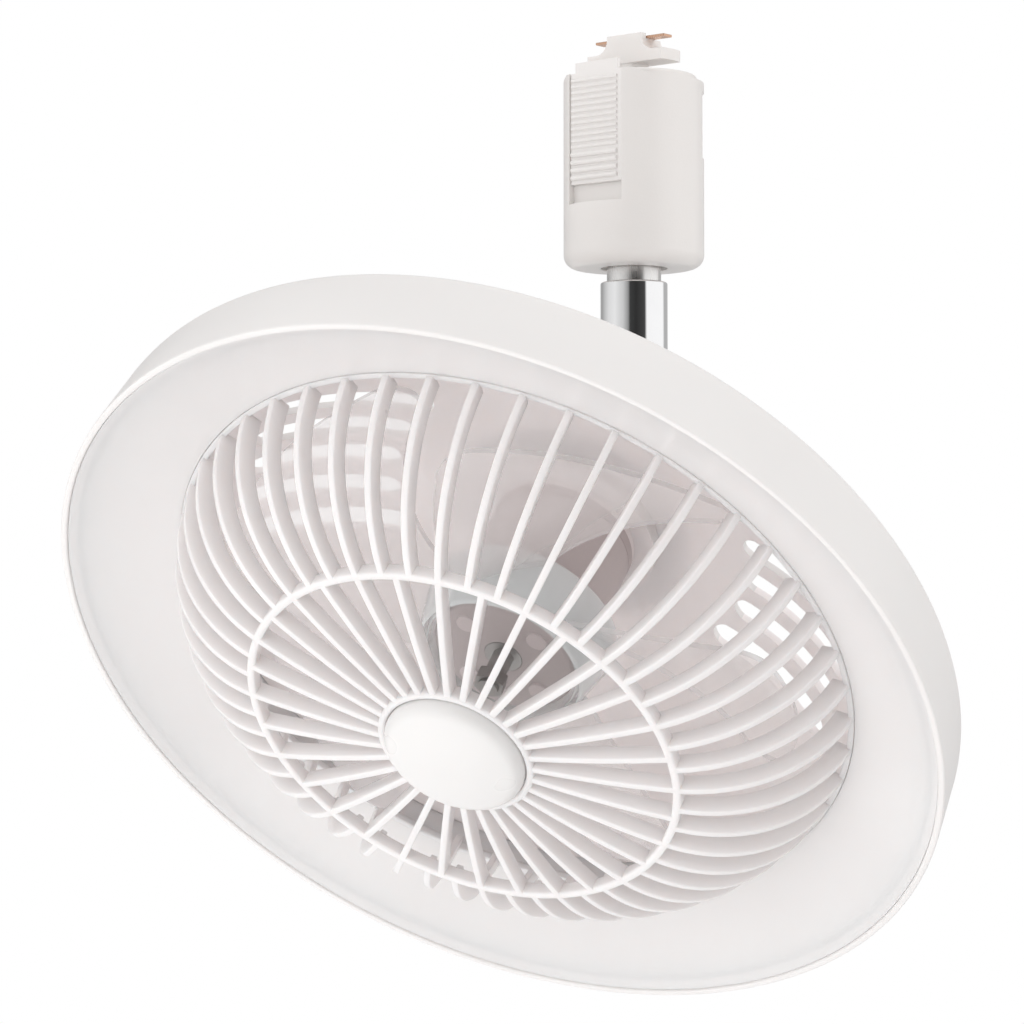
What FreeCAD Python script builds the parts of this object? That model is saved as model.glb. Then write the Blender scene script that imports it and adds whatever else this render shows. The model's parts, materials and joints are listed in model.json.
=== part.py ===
import FreeCAD, Part
import math
import os

# Track light with fan: a rail adapter, a chromed stem and a tilting head that holds a light ring,
# a domed grille and a clear fan. Millimetres, +Z up. The origin is on the stem's axis at the face
# that meets the rail. The lock slide is on the -Y side, and the contact blades point along X.
# The head's pieces are drawn in the head's own frame: origin at the centre of the light ring's lip,
# +Z out of the front, +X along the tilt axis.

V = FreeCAD.Vector
ORIGIN = V(0, 0, 0)
X_AXIS = V(1, 0, 0)
Z_AXIS = V(0, 0, 1)
FULL_TURN = 360.0

# Pose at rest
TILT = 45.0             # head's front axis from straight down, degrees
PAN = 10.0              # head's heading from the slide's side, degrees

# Fits between pieces
RUN_FIT = 0.04          # radial clearance of a shaft or pin that turns
PRESS_FIT = 0.02        # radial clearance of a piece pressed home
SEAT_FIT = 0.15         # clearance of pieces pushed together
SLIDE_FIT = 0.3         # clearance round a piece that slides
PANEL_GAP = 0.4         # gap that shows between two panels
CUT_OVER = 1.0          # how far a cutter runs past the faces it cuts

# Light ring
THROAT_R = 102.0        # inner edge of the diffuser
RING_W = 28.0           # inner edge of the diffuser to the outside of the lip
RING_TAPER = 1.6        # outer radius lost from lip to back
RING_DEPTH = 25.0       # lip to back face
RING_WALL = 2.0
RING_EDGE = 5.0         # round of the outer back edge
LEDGE_DEPTH = 4.0       # lip to the ledge that carries the diffuser
LEDGE_W = 1.5
DISH_DEPTH = 16.0       # lip to the diffuser's inner edge
DISH_SAG = 1.5          # hollow of the diffuser's face
DIFFUSER_T = 2.0
DIFFUSER_SET = 0.8      # diffuser's outer edge behind the lip
BOARD_T = 1.6           # circuit boards
BOARD_GAP = 1.5         # ring board to the walls beside it
LED_COUNT = 36
LED_L = 3.5
LED_W = 2.8
LED_T = 0.8

# Grille
SKIRT_T = 2.4           # wall of the skirt that stands in the throat
RIM_SETBACK = 14.8      # lip to the front of the grille's rim
RIM_W = 4.2
RIM_T = 2.4
RIM_ROUND = 3.0         # round of the rim's outer edge
RIB_SETBACK = 13.2      # lip to the front of a rib's outer end
RIB_END_IN = 1.5        # that end, in from the outside of the skirt
MID_R = 62.1            # ring between outer and inner ribs
MID_FRONT = 22.0        # its front, forward of the lip
MID_W = 2.4
DOME_BULGE = 8.0        # bulge of the outer ribs over a straight line
RIB_W = 2.0
OUTER_RIB_DEPTH = 6.5
INNER_RIB_DEPTH = 5.0
OUTER_RIBS = 48
INNER_RIBS = 32
HUB_RISE = 3.9          # front of the hub end of a rib, forward of the mid ring
INNER_BULGE = 0.6
HUB_T = 3.7
HUB_RIM_W = 2.2
HUB_RIM_UP = 1.6        # round-topped rim round the cap, above the hub plate
CAP_R = 20.4
CAP_SKIRT = 1.0
CAP_EDGE = 5.0          # round between skirt and crown
CAP_SLOPE = 22.0        # crown's slope where it meets that round, degrees
CAP_WALL = 1.6

# Rear cover
COVER_WALL = 2.2
COVER_FLANGE_W = 10.0   # flange behind the light ring, outside the throat
COVER_FLANGE_T = 2.0
BOWL_BACK_R = 54.0      # where the bowl meets its flat back
BOWL_DEPTH = 41.0       # flange face to the flat back
BOWL_BULGE = 7.2
PAD_R = 27.0            # raised round that carries the motor
PAD_UP = 4.0
VENT_HEADINGS = (-25.0, 149.0)  # middles of the vent groups, degrees from +X
VENT_SLOTS = 5          # parallel slots in a group
VENT_PITCH = 13.0
VENT_W = 7.6
VENT_IN_R = 53.0        # circles on which the slots end
VENT_OUT_R = 91.0
CASE_SCREWS = 6
SCREW_R = 1.5
SCREW_HEAD_R = 3.0
SCREW_HEAD_T = 2.0
SCREW_GRIP = 4.0        # thread length in the piece that is held
SCREW_EDGE = 1.0        # least flange outside a screw's head
BOSS_WALL = 2.0

# Driver housing
DRIVER_R = 36.0         # front edge
DRIVER_BACK_R = 28.0
DRIVER_DEPTH = 27.0
DRIVER_EDGE = 4.0
DRIVER_WALL = 2.0
POST_R = 2.5
POST_RING_R = 20.0
POST_H = 15.0
POSTS = 3
DRIVER_BOARD_R = 26.0
COIL_L = 13.0           # parts on the board
COIL_W = 11.0
COIL_H = 9.0
CAPACITOR_R = 4.0
CAPACITOR_H = 11.0
PART_OFFSET = 10.0

# Motor, along the head's axis
MOTOR_R = 21.0
MOTOR_WALL = 2.0
MOTOR_L = 45.6          # front face to end cover
MOTOR_COVER_T = 3.0
MOTOR_EDGE = 2.0
BUMPS = 4               # round studs on the front face
BUMP_R = 3.0
BUMP_H = 0.8
BUMP_RING_R = 14.6
BUMP_FIRST = 25.0
MOTOR_PAD_T = 2.0
SHAFT_R = 3.0
BEARING_R = 5.5
BEARING_L = 6.0
ROTOR_R = 11.5
ROTOR_L = 20.0
AIR_GAP = 0.5
STATOR_L = 18.0
STATOR_SLOTS = 6
STATOR_SLOT_W = 4.0
STATOR_YOKE = 2.5
MOTOR_SCREWS = 3
MOTOR_SCREW_RING_R = 15.0

# Fan
BLADES = 5
TIP_GAP = 15.0          # blade tips to the grille's skirt
BLADE_T = 1.8
BLADE_FIRST = 49.0      # heading of the first blade, degrees from +X
ROOT_SLOPE = 0.77       # rise of a blade across its width, at the hub
TIP_SLOPE = 0.30
ROOT_LAG = 10.0         # width offset where the root section crosses its mean height
TIP_LAG = 3.0
BLADE_SET = 13.0        # cup's front to the blades' mean height
CUP_FRONT_R = 24.2
CUP_BACK_R = 28.7
CUP_DEPTH = 19.0
CUP_WALL = 1.8
CUP_CLEAR = 1.6         # motor's front face to the inside of the cup
SHAFT_BOSS_R = 7.5
SHAFT_BOSS_H = 6.0
NUT_AF = 8.0            # hexagon nuts across flats
NUT_T = 4.0
SHAFT_PROUD = 1.0       # shaft end past the nut
TIP_RISE = 5.0          # tip section forward of the root section
PETAL_SHOULDER = 10.0   # straight sides end this far inside the tip circle
PETAL_CORNER = 2.5      # middle of the corner rounds, inside the tip circle
PETAL_BACK = (4.0, -9.0, -27.0)     # trailing side at root, middle and shoulder, degrees
PETAL_BACK_TIP = (-25.5, -20.0)     # trailing corner's middle and end, degrees
PETAL_FRONT_TIP = (22.0, 28.0)      # leading corner's start and middle, degrees
PETAL_FRONT = (31.0, 39.0, 52.0)    # leading side at shoulder, middle and root, degrees

# Stem
PIVOT_BACK = 122.0      # tilt axis behind the lip, on the head's axis
PIVOT_DROP = 95.7       # tilt axis below the rail face
TUBE_R = 10.0
TUBE_WALL = 1.0
TUBE_CHAMFER = 0.6
TUBE_TOP_T = 3.0
NECK_R = 8.1
NECK_BORE_R = 5.0
NECK_SHOWS = 4.2        # neck seen between tube and adapter
EYE_W = 11.0
EYE_SHOULDER = 1.5
EYE_PLUG = 8.0
EAR_R = 9.5
EAR_T = 3.0
EAR_GAP = 1.0           # eye's shoulder to the round of the ears
WASHER_T = 0.6
BOLT_R = 3.0
BOLT_HEAD_R = 5.5
BOLT_HEAD_T = 3.0
BRACKET_T = 3.0
BRACKET_L = 34.0        # base plate across the ears
BRACKET_SCREWS = 2
ACROSS = 90.0           # the bracket's screws lie across the tilt axis, degrees from it
BRACKET_SCREW_OUT = 3.6  # screw axis in from the plate's end
NUT_ROUND_R = 12.0
NUT_ROUND_T = 4.0
STOP_ARM_W = 2.0
STOP_POST_W = 2.0
STOP_CLEAR = 0.5        # stop arm to the wall it passes, and stop post to the nut

# Rail adapter
BODY_R = 21.0
BODY_STEP = 2.2         # shell's edge below the rail face
BODY_H = 55.4
BODY_EDGE = 4.0
BODY_WALL = 2.0
BODY_FLOOR = 3.0
SLIDE_OUT = 18.0        # slide's face from the axis
CHANNEL_DEEP = 1.7      # slide's face to the channel's floor
CHANNEL_W = 19.6
CHANNEL_LOW = 39.4      # channel's end below the rail face
COLLAR_DROP = 0.4       # wall round the slide, below the rail face
COLLAR_BACK = 13.0      # back of that wall, from the axis
COLLAR_HALF = 12.0      # half width of its full-height part
COLLAR_SLOPE = 5.0      # width of its sloping ends
GRIP_TURN = 130.0       # grip hollows, degrees from the slide's side
GRIP_W = 11.0
GRIP_LOW = 25.0
GRIP_H = 20.0
GRIP_DEEP = 1.0
SWIVEL_HOLE_R = 10.0
BUSH_FLANGE_R = 12.5
BUSH_FLANGE_T = 1.5
COVER_T = 5.0
COVER_EDGE = 0.5
COVER_LEDGE_W = 1.4     # ledge that carries the top cover
COVER_LEDGE_T = 2.0
SLIDER_LOW = 33.6       # slide's lower end below the rail face
TAB_UP = 2.7            # lock tab above the rail face
TAB_HALF = 8.0
RIDGES = 13
RIDGE_R = 0.75
RIDGE_PITCH = 2.5
RIDGE_INSET = 0.6
RIDGE_LOW = 1.6         # lowest ridge above the slide's end
LUG_W = 8.0
LUG_H = 6.0
LUG_LOW = 24.0          # lug's underside below the rail face
LUG_REACH = 9.5         # lug's inner end from the axis
LOCK_TRAVEL = 4.5
SPRING_R = 1.6          # to the middle of the wire
SPRING_WIRE_R = 0.35
SPRING_TURNS = 6
SPRING_FREE = 14.0
SHELF_T = 2.0
SPRING_END_GAP = 0.1

# Rail key
KEY_NECK_R = 4.5
KEY_FLANGE_R = 8.0
KEY_FLANGE_T = 2.5
WING_LOW = 3.6          # wings above the rail face
WING_T = 3.4
WING_R = 14.7
WING_HALF_W = 4.75
BLADE_SEAT = 3.8        # contact blades above the wings
BOSS_HALF = 6.5
BOSS_FLARE = 4.5
BOSS_WALL_T = 2.4
BOSS_WALL_UP = 1.5      # front wall above the blades' seat
CONTACT_T = 0.8
CONTACT_W = 4.1
CONTACT_OUT = 12.9
CONTACT_LEG_IN = 1.6    # leg's inner face from the axis
CONTACT_TAIL = 14.0     # tail below the rail face
CONTACT_FIT = 0.1

# Places that several pieces share, in the head's frame
LIP_R = THROAT_R + RING_W
SKIRT_R = THROAT_R - PANEL_GAP
COVER_FACE = -RING_DEPTH
BOWL_BACK = COVER_FACE - BOWL_DEPTH
COVER_BACK = BOWL_BACK - COVER_WALL
MOTOR_BASE = BOWL_BACK + PAD_UP + MOTOR_PAD_T
MOTOR_FRONT = MOTOR_BASE + MOTOR_COVER_T + MOTOR_L
CUP_INSIDE = MOTOR_FRONT + CUP_CLEAR
TIP_R = SKIRT_R - SKIRT_T - TIP_GAP
DRIVER_BACK = COVER_BACK - DRIVER_DEPTH
BRACKET_BACK = DRIVER_BACK - BRACKET_T
CASE_SCREW_R = THROAT_R + COVER_FLANGE_W - SCREW_HEAD_R - SCREW_EDGE

# Places in the adapter, below the rail face
PIVOT_Z = -PIVOT_DROP
BODY_TOP = -BODY_STEP
COLLAR_TOP = -COLLAR_DROP
BODY_LOW = BODY_TOP - BODY_H
FLOOR_TOP = BODY_LOW + BODY_FLOOR
CHANNEL_FLOOR = SLIDE_OUT - CHANNEL_DEEP
CAVITY_FLAT = CHANNEL_FLOOR - BODY_WALL
TUBE_TOP = BODY_LOW - NECK_SHOWS
TUBE_LOW = PIVOT_Z + EAR_R + EAR_GAP + EYE_SHOULDER
BUSH_TOP = FLOOR_TOP + BUSH_FLANGE_T
NUT_LOW = BUSH_TOP + WASHER_T + SEAT_FIT


def outline(start, *steps):
    """Closed face in the XZ plane. A step is a point (x, z), or a pair (middle, end) for an arc."""
    edges = []
    here = V(start[0], 0, start[1])
    for step in steps + (start,):
        if isinstance(step[0], tuple):
            middle = V(step[0][0], 0, step[0][1])
            there = V(step[1][0], 0, step[1][1])
            edges.append(Part.Arc(here, middle, there).toShape())
        else:
            there = V(step[0], 0, step[1])
            if here.distanceToPoint(there) > Part.Precision.confusion():
                edges.append(Part.LineSegment(here, there).toShape())
        here = there
    return Part.Face(Part.Wire(edges))


def revolved(start, *steps):
    """Solid of revolution about Z from an outline given as (radius, height)."""
    return outline(start, *steps).revolve(ORIGIN, Z_AXIS, FULL_TURN)


def strip(width, start, *steps):
    """Flat piece standing on the XZ plane, as wide as stated along Y."""
    face = outline(start, *steps)
    face.translate(V(0, -width / 2, 0))
    return face.extrude(V(0, width, 0))


def rod(radius, low, high, x=0.0, y=0.0):
    return Part.makeCylinder(radius, high - low, V(x, y, low))


def tube(outer, inner, low, high):
    return rod(outer, low, high).cut(rod(inner, low - CUT_OVER, high + CUT_OVER))


def block(x, y, z):
    """Box between pairs of limits."""
    return Part.makeBox(x[1] - x[0], y[1] - y[0], z[1] - z[0], V(x[0], y[0], z[0]))


def hexagon(flats, low, high):
    corner = flats / math.sqrt(3)
    turns = [math.radians(60 * k) for k in range(7)]
    points = [V(corner * math.cos(t), corner * math.sin(t), low) for t in turns]
    return Part.Face(Part.makePolygon(points)).extrude(V(0, 0, high - low))


def turned(shape, degrees, axis=Z_AXIS, about=ORIGIN):
    copy = shape.copy()
    copy.rotate(about, axis, degrees)
    return copy


def moved(shape, x=0.0, y=0.0, z=0.0):
    copy = shape.copy()
    copy.translate(V(x, y, z))
    return copy


def around(shape, count, first=0.0):
    """Copies of a shape spaced evenly round Z."""
    return [turned(shape, first + FULL_TURN * k / count) for k in range(count)]


def joined(first, others):
    return first.multiFuse(others).removeSplitter()


def bulged(start, end, bulge):
    """Middle of an arc that leaves the straight line by bulge, to the right of its direction."""
    dx = end[0] - start[0]
    dz = end[1] - start[1]
    length = math.hypot(dx, dz)
    return ((start[0] + end[0]) / 2 + bulge * dz / length, (start[1] + end[1]) / 2 - bulge * dx / length)


def shifted(start, middle, end, distance):
    """Three points of the concentric arc that lies a distance outside the arc's own circle."""
    points = [V(p[0], 0, p[1]) for p in (start, middle, end)]
    circle = Part.Arc(*points).toShape().Curve
    centre = circle.Center
    scale = 1 + distance / circle.Radius
    return [(centre.x + (p[0] - centre.x) * scale, centre.z + (p[1] - centre.z) * scale)
            for p in (start, middle, end)]


def screw(grip):
    """Round-headed screw with its seat at z = 0, pointing along +Z."""
    ball = (SCREW_HEAD_R ** 2 + SCREW_HEAD_T ** 2) / (2 * SCREW_HEAD_T)
    half = math.asin(SCREW_HEAD_R / ball) / 2
    shoulder = (ball * math.sin(half), ball * (1 - math.cos(half)) - SCREW_HEAD_T)
    return revolved(
        (0, grip), (SCREW_R, grip), (SCREW_R, 0), (SCREW_HEAD_R, 0), (shoulder, (0, -SCREW_HEAD_T)))


def in_head(shape):
    """Carry a piece from the head's frame to its place at rest."""
    at_pivot = moved(shape, z=PIVOT_BACK)
    tilted = turned(at_pivot, 180 - TILT, X_AXIS)
    return moved(turned(tilted, PAN), z=PIVOT_Z)


def on_stem(shape):
    """Turn a piece of the stem to the heading at rest."""
    return turned(shape, PAN)


# Light ring

def ring_housing():
    back_r = LIP_R - RING_TAPER
    round_r = RING_WALL / 2
    corner = (back_r - RING_EDGE, RING_EDGE - RING_DEPTH)
    diagonal = math.sqrt(0.5)
    inner_edge = RING_EDGE - RING_WALL
    inside_r = LIP_R - RING_WALL
    throat = THROAT_R + PANEL_GAP
    seat = -DISH_DEPTH - DIFFUSER_T
    floor = RING_WALL - RING_DEPTH
    shell = revolved(
        (LIP_R, -round_r),
        (back_r, corner[1]),
        ((corner[0] + RING_EDGE * diagonal, corner[1] - RING_EDGE * diagonal), (corner[0], -RING_DEPTH)),
        (throat, -RING_DEPTH),
        (throat, seat),
        (throat + RING_WALL, seat),
        (throat + RING_WALL, floor),
        (corner[0], floor),
        ((corner[0] + inner_edge * diagonal, corner[1] - inner_edge * diagonal),
         (back_r - RING_WALL, corner[1])),
        (inside_r, -LEDGE_DEPTH - 2 * LEDGE_W),
        (inside_r - LEDGE_W, -LEDGE_DEPTH - LEDGE_W),
        (inside_r - LEDGE_W, -LEDGE_DEPTH),
        (inside_r, -LEDGE_DEPTH),
        (inside_r, -round_r),
        ((LIP_R - round_r, 0), (LIP_R, -round_r)))
    boss = rod(SCREW_R + BOSS_WALL, -RING_DEPTH, SCREW_GRIP - RING_DEPTH, x=CASE_SCREW_R)
    hole = rod(SCREW_R + PRESS_FIT, -RING_DEPTH - CUT_OVER, SCREW_GRIP - RING_DEPTH, x=CASE_SCREW_R)
    shell = joined(shell, around(boss, CASE_SCREWS))
    return shell.cut(around(hole, CASE_SCREWS))


def diffuser():
    outer = LIP_R - RING_WALL - SEAT_FIT
    edge = (outer, -DIFFUSER_SET)
    inner = (THROAT_R, -DISH_DEPTH)
    face = bulged(inner, edge, DISH_SAG)
    foot = THROAT_R + PANEL_GAP + RING_WALL
    back_in = (foot, -DISH_DEPTH - DIFFUSER_T)
    back_out = (outer - DIFFUSER_T, -DIFFUSER_SET - DIFFUSER_T)
    return revolved(
        edge, (face, inner), (THROAT_R, back_in[1]), back_in,
        (bulged(back_in, back_out, DISH_SAG), back_out),
        (back_out[0], -LEDGE_DEPTH), (outer, -LEDGE_DEPTH))


def led_ring_limits():
    inner = CASE_SCREW_R + SCREW_R + BOSS_WALL + BOARD_GAP
    outer = LIP_R - RING_TAPER - RING_EDGE
    return inner, outer


def led_board():
    inner, outer = led_ring_limits()
    floor = RING_WALL - RING_DEPTH
    return tube(outer, inner, floor, floor + BOARD_T)


def led_chips():
    inner, outer = led_ring_limits()
    middle = (inner + outer) / 2
    top = RING_WALL - RING_DEPTH + BOARD_T
    chip = block((middle - LED_W / 2, middle + LED_W / 2), (-LED_L / 2, LED_L / 2), (top, top + LED_T))
    return around(chip, LED_COUNT)


# Grille: ribs stand on edge in planes through the axis

def outer_rib():
    rim = (SKIRT_R - RIB_END_IN, -RIB_SETBACK)
    mid = (MID_R, MID_FRONT)
    front = (rim, bulged(rim, mid, DOME_BULGE), mid)
    back = shifted(*front, -OUTER_RIB_DEPTH)
    foot = -RIM_SETBACK - RIM_T / 2
    return strip(
        RIB_W, (rim[0], foot), rim, (front[1], mid), back[2], (back[1], back[0]), (back[0][0], foot))


def inner_rib():
    mid = (MID_R, MID_FRONT)
    hub = (hub_radius() - HUB_RIM_W / 2, MID_FRONT + HUB_RISE)
    hub_back = (hub[0], hub[1] - INNER_RIB_DEPTH)
    mid_back = (MID_R, mid[1] - INNER_RIB_DEPTH)
    return strip(RIB_W, mid, (bulged(mid, hub, INNER_BULGE), hub), hub_back, mid_back)


def hub_radius():
    return CAP_R + SEAT_FIT + HUB_RIM_W


def hub_plate_top():
    return MID_FRONT + HUB_RISE - INNER_RIB_DEPTH + HUB_T


def front_grille():
    rim_in = SKIRT_R - RIM_W
    edge = (SKIRT_R - RIM_ROUND, -RIM_SETBACK - RIM_ROUND)
    diagonal = RIM_ROUND * math.sqrt(0.5)
    rim = revolved(
        (SKIRT_R, COVER_FACE), (SKIRT_R, edge[1]),
        ((edge[0] + diagonal, edge[1] + diagonal), (edge[0], -RIM_SETBACK)),
        (rim_in, -RIM_SETBACK), (rim_in, -RIM_SETBACK - RIM_T),
        (SKIRT_R - SKIRT_T, -RIM_SETBACK - RIM_T), (SKIRT_R - SKIRT_T, COVER_FACE))
    mid = tube(MID_R + MID_W / 2, MID_R - MID_W / 2, MID_FRONT - OUTER_RIB_DEPTH, MID_FRONT)
    top = hub_plate_top()
    outer = hub_radius()
    crest = top + HUB_RIM_UP
    shoulder = crest - HUB_RIM_W / 2
    hub = revolved(
        (0, top - HUB_T), (outer, top - HUB_T), (outer, shoulder),
        ((outer - HUB_RIM_W / 2, crest), (outer - HUB_RIM_W, shoulder)), (outer - HUB_RIM_W, top), (0, top))
    phase = FULL_TURN / INNER_RIBS / 2
    ribs = around(outer_rib(), OUTER_RIBS, phase) + around(inner_rib(), INNER_RIBS, phase)
    return joined(rim, [mid, hub] + ribs)


def cap_line(inward):
    """Outline of the cap's outer face, or of a face inward of it, from skirt to crown."""
    edge = hub_plate_top() + CAP_SKIRT
    slope = math.radians(CAP_SLOPE)
    half = (math.pi / 2 + slope) / 2
    round_x = CAP_R - CAP_EDGE
    round_r = CAP_EDGE - inward
    ball = (round_x + CAP_EDGE * math.sin(slope)) / math.sin(slope)
    ball_z = edge + (CAP_EDGE - ball) * math.cos(slope)
    ball_r = ball - inward
    return (
        (CAP_R - inward, edge),
        (round_x + round_r * math.sin(half), edge + round_r * math.cos(half)),
        (round_x + round_r * math.sin(slope), edge + round_r * math.cos(slope)),
        (ball_r * math.sin(slope / 2), ball_z + ball_r * math.cos(slope / 2)),
        (0, ball_z + ball_r))


def hub_cap():
    low = hub_plate_top()
    out = cap_line(0)
    under = cap_line(CAP_WALL)
    return revolved(
        (CAP_R, low), out[0], (out[1], out[2]), (out[3], out[4]),
        under[4], (under[3], under[2]), (under[1], under[0]), (CAP_R - CAP_WALL, low))


# Rear cover and driver housing

def vent_slot(aside):
    """Round-ended slot along X, aside of the axis, cut through the cover along Z."""
    half = VENT_W / 2
    start = math.sqrt(VENT_IN_R ** 2 - aside ** 2) + half
    end = math.sqrt(VENT_OUT_R ** 2 - aside ** 2) - half
    low = COVER_BACK - CUT_OVER
    slot = block((start, end), (aside - half, aside + half), (low, COVER_FACE))
    return joined(slot, [rod(half, low, COVER_FACE, x, aside) for x in (start, end)])


def rear_cover():
    lip = (SKIRT_R - SKIRT_T, COVER_FACE)
    back = (BOWL_BACK_R, BOWL_BACK)
    bowl = (lip, bulged(back, lip, BOWL_BULGE), back)
    skin = shifted(*bowl, COVER_WALL)
    flange_r = THROAT_R + COVER_FLANGE_W
    flange_back = COVER_FACE - COVER_FLANGE_T
    shell = revolved(
        (0, BOWL_BACK), bowl[2], (bowl[1], bowl[0]), skin[0], (skin[1], skin[2]),
        (skin[2][0], COVER_BACK), (0, COVER_BACK))
    flange = tube(flange_r, lip[0] + COVER_WALL / 2, flange_back, COVER_FACE)
    pad = rod(PAD_R, BOWL_BACK - COVER_WALL / 2, BOWL_BACK + PAD_UP)
    shell = joined(shell, [flange, pad])
    screw_hole = rod(SCREW_R + SEAT_FIT, flange_back - CUT_OVER, COVER_FACE + CUT_OVER, x=CASE_SCREW_R)
    motor_hole = rod(SCREW_R + SEAT_FIT, COVER_BACK - CUT_OVER, BOWL_BACK + PAD_UP + CUT_OVER,
                     x=MOTOR_SCREW_RING_R)
    cuts = around(screw_hole, CASE_SCREWS) + around(motor_hole, MOTOR_SCREWS)
    for k in range(VENT_SLOTS):
        slot = vent_slot((k - (VENT_SLOTS - 1) / 2) * VENT_PITCH)
        cuts.extend(turned(slot, heading) for heading in VENT_HEADINGS)
    return shell.cut(cuts)


def case_screws():
    seat = COVER_FACE - COVER_FLANGE_T
    piece = screw(COVER_FLANGE_T + SCREW_GRIP - SEAT_FIT)
    return around(moved(piece, CASE_SCREW_R, 0, seat), CASE_SCREWS)


def driver_housing():
    diagonal = math.sqrt(0.5)
    floor = DRIVER_BACK + DRIVER_WALL
    corner = (DRIVER_BACK_R - DRIVER_EDGE, DRIVER_BACK + DRIVER_EDGE)
    inner_edge = DRIVER_EDGE - DRIVER_WALL
    cup = revolved(
        (0, DRIVER_BACK), (corner[0], DRIVER_BACK),
        ((corner[0] + DRIVER_EDGE * diagonal, corner[1] - DRIVER_EDGE * diagonal),
         (DRIVER_BACK_R, corner[1])),
        (DRIVER_R, COVER_BACK), (DRIVER_R - DRIVER_WALL, COVER_BACK),
        (DRIVER_BACK_R - DRIVER_WALL, corner[1]),
        ((corner[0] + inner_edge * diagonal, corner[1] - inner_edge * diagonal), (corner[0], floor)),
        (0, floor))
    post = rod(POST_R, floor - DRIVER_WALL / 2, floor + POST_H, x=POST_RING_R)
    boss = bracket_screw_boss(floor)
    cup = joined(cup, around(post, POSTS, ACROSS) + around(boss, BRACKET_SCREWS, ACROSS))
    hole = rod(SCREW_R + PRESS_FIT, DRIVER_BACK - CUT_OVER, floor + SCREW_GRIP, x=bracket_screw_out())
    return cup.cut(around(hole, BRACKET_SCREWS, ACROSS))


def bracket_screw_out():
    return BRACKET_L / 2 - BRACKET_SCREW_OUT


def bracket_screw_boss(floor):
    top = floor + SCREW_GRIP + BOSS_WALL
    return rod(SCREW_R + BOSS_WALL, floor - DRIVER_WALL / 2, top, x=bracket_screw_out())


def driver_board():
    low = DRIVER_BACK + DRIVER_WALL + POST_H
    board = rod(DRIVER_BOARD_R, low, low + BOARD_T)
    root = low + BOARD_T / 2
    coil = block((-COIL_L / 2, COIL_L / 2), (-COIL_W / 2, COIL_W / 2), (low - COIL_H, root))
    coil = moved(coil, -PART_OFFSET)
    capacitor = rod(CAPACITOR_R, low - CAPACITOR_H, root, x=PART_OFFSET)
    return joined(board, [coil, capacitor])


# Motor and fan

def motor_housing():
    low = MOTOR_BASE + MOTOR_COVER_T
    inner = MOTOR_R - MOTOR_WALL
    edge = (MOTOR_R - MOTOR_EDGE, MOTOR_FRONT - MOTOR_EDGE)
    diagonal = MOTOR_EDGE * math.sqrt(0.5)
    hole = BEARING_R + PRESS_FIT
    socket = hole + MOTOR_WALL
    under = MOTOR_FRONT - MOTOR_WALL
    can = revolved(
        (MOTOR_R, low), (MOTOR_R, edge[1]),
        ((edge[0] + diagonal, edge[1] + diagonal), (edge[0], MOTOR_FRONT)),
        (hole, MOTOR_FRONT), (hole, MOTOR_FRONT - BEARING_L), (socket, MOTOR_FRONT - BEARING_L),
        (socket, under), (inner, under), (inner, low))
    bump = rod(BUMP_R, MOTOR_FRONT - MOTOR_WALL / 2, MOTOR_FRONT + BUMP_H, x=BUMP_RING_R)
    return joined(can, around(bump, BUMPS, BUMP_FIRST))


def motor_end_cover():
    top = MOTOR_BASE + MOTOR_COVER_T
    hole = BEARING_R + PRESS_FIT
    spigot = MOTOR_R - MOTOR_WALL - SEAT_FIT
    cover = rod(MOTOR_R, MOTOR_BASE, top)
    socket = rod(hole + MOTOR_WALL, MOTOR_BASE, top + BEARING_L)
    plug = tube(spigot, spigot - MOTOR_WALL, top - MOTOR_COVER_T / 2, top + MOTOR_WALL)
    cover = joined(cover, [socket, plug])
    screw_end = MOTOR_BASE + SCREW_GRIP
    screw_hole = rod(SCREW_R + PRESS_FIT, MOTOR_BASE - CUT_OVER, screw_end, x=MOTOR_SCREW_RING_R)
    return cover.cut([rod(hole, top, top + BEARING_L + CUT_OVER)] + around(screw_hole, MOTOR_SCREWS))


def bearing_places():
    return MOTOR_BASE + MOTOR_COVER_T, MOTOR_FRONT - BEARING_L


def motor_bearings():
    return [tube(BEARING_R, SHAFT_R + RUN_FIT, low, low + BEARING_L) for low in bearing_places()]


def motor_middle():
    low, high = bearing_places()
    return (low + BEARING_L + high) / 2


def motor_stator():
    middle = motor_middle()
    outer = MOTOR_R - MOTOR_WALL - PRESS_FIT
    ring = tube(outer, ROTOR_R + AIR_GAP, middle - STATOR_L / 2, middle + STATOR_L / 2)
    slot = block((0, outer - STATOR_YOKE), (-STATOR_SLOT_W / 2, STATOR_SLOT_W / 2),
                 (middle - STATOR_L / 2 - CUT_OVER, middle + STATOR_L / 2 + CUT_OVER))
    return ring.cut(around(slot, STATOR_SLOTS))


def motor_rotor():
    middle = motor_middle()
    return tube(ROTOR_R, SHAFT_R + PRESS_FIT, middle - ROTOR_L / 2, middle + ROTOR_L / 2)


def boss_front():
    return CUP_INSIDE + SHAFT_BOSS_H


def motor_shaft():
    return rod(SHAFT_R, MOTOR_BASE + MOTOR_COVER_T + SLIDE_FIT, boss_front() + NUT_T + SHAFT_PROUD)


def motor_pad():
    low = BOWL_BACK + PAD_UP
    hole = rod(SCREW_R + SEAT_FIT, low - CUT_OVER, low + MOTOR_PAD_T + CUT_OVER, x=MOTOR_SCREW_RING_R)
    return rod(MOTOR_R, low, low + MOTOR_PAD_T).cut(around(hole, MOTOR_SCREWS))


def motor_screws():
    through = COVER_WALL + PAD_UP + MOTOR_PAD_T
    piece = moved(screw(through + SCREW_GRIP - SEAT_FIT), MOTOR_SCREW_RING_R, 0, COVER_BACK)
    return around(piece, MOTOR_SCREWS)


def polar(radius, degrees):
    return radius * math.cos(math.radians(degrees)), radius * math.sin(math.radians(degrees))


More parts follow.
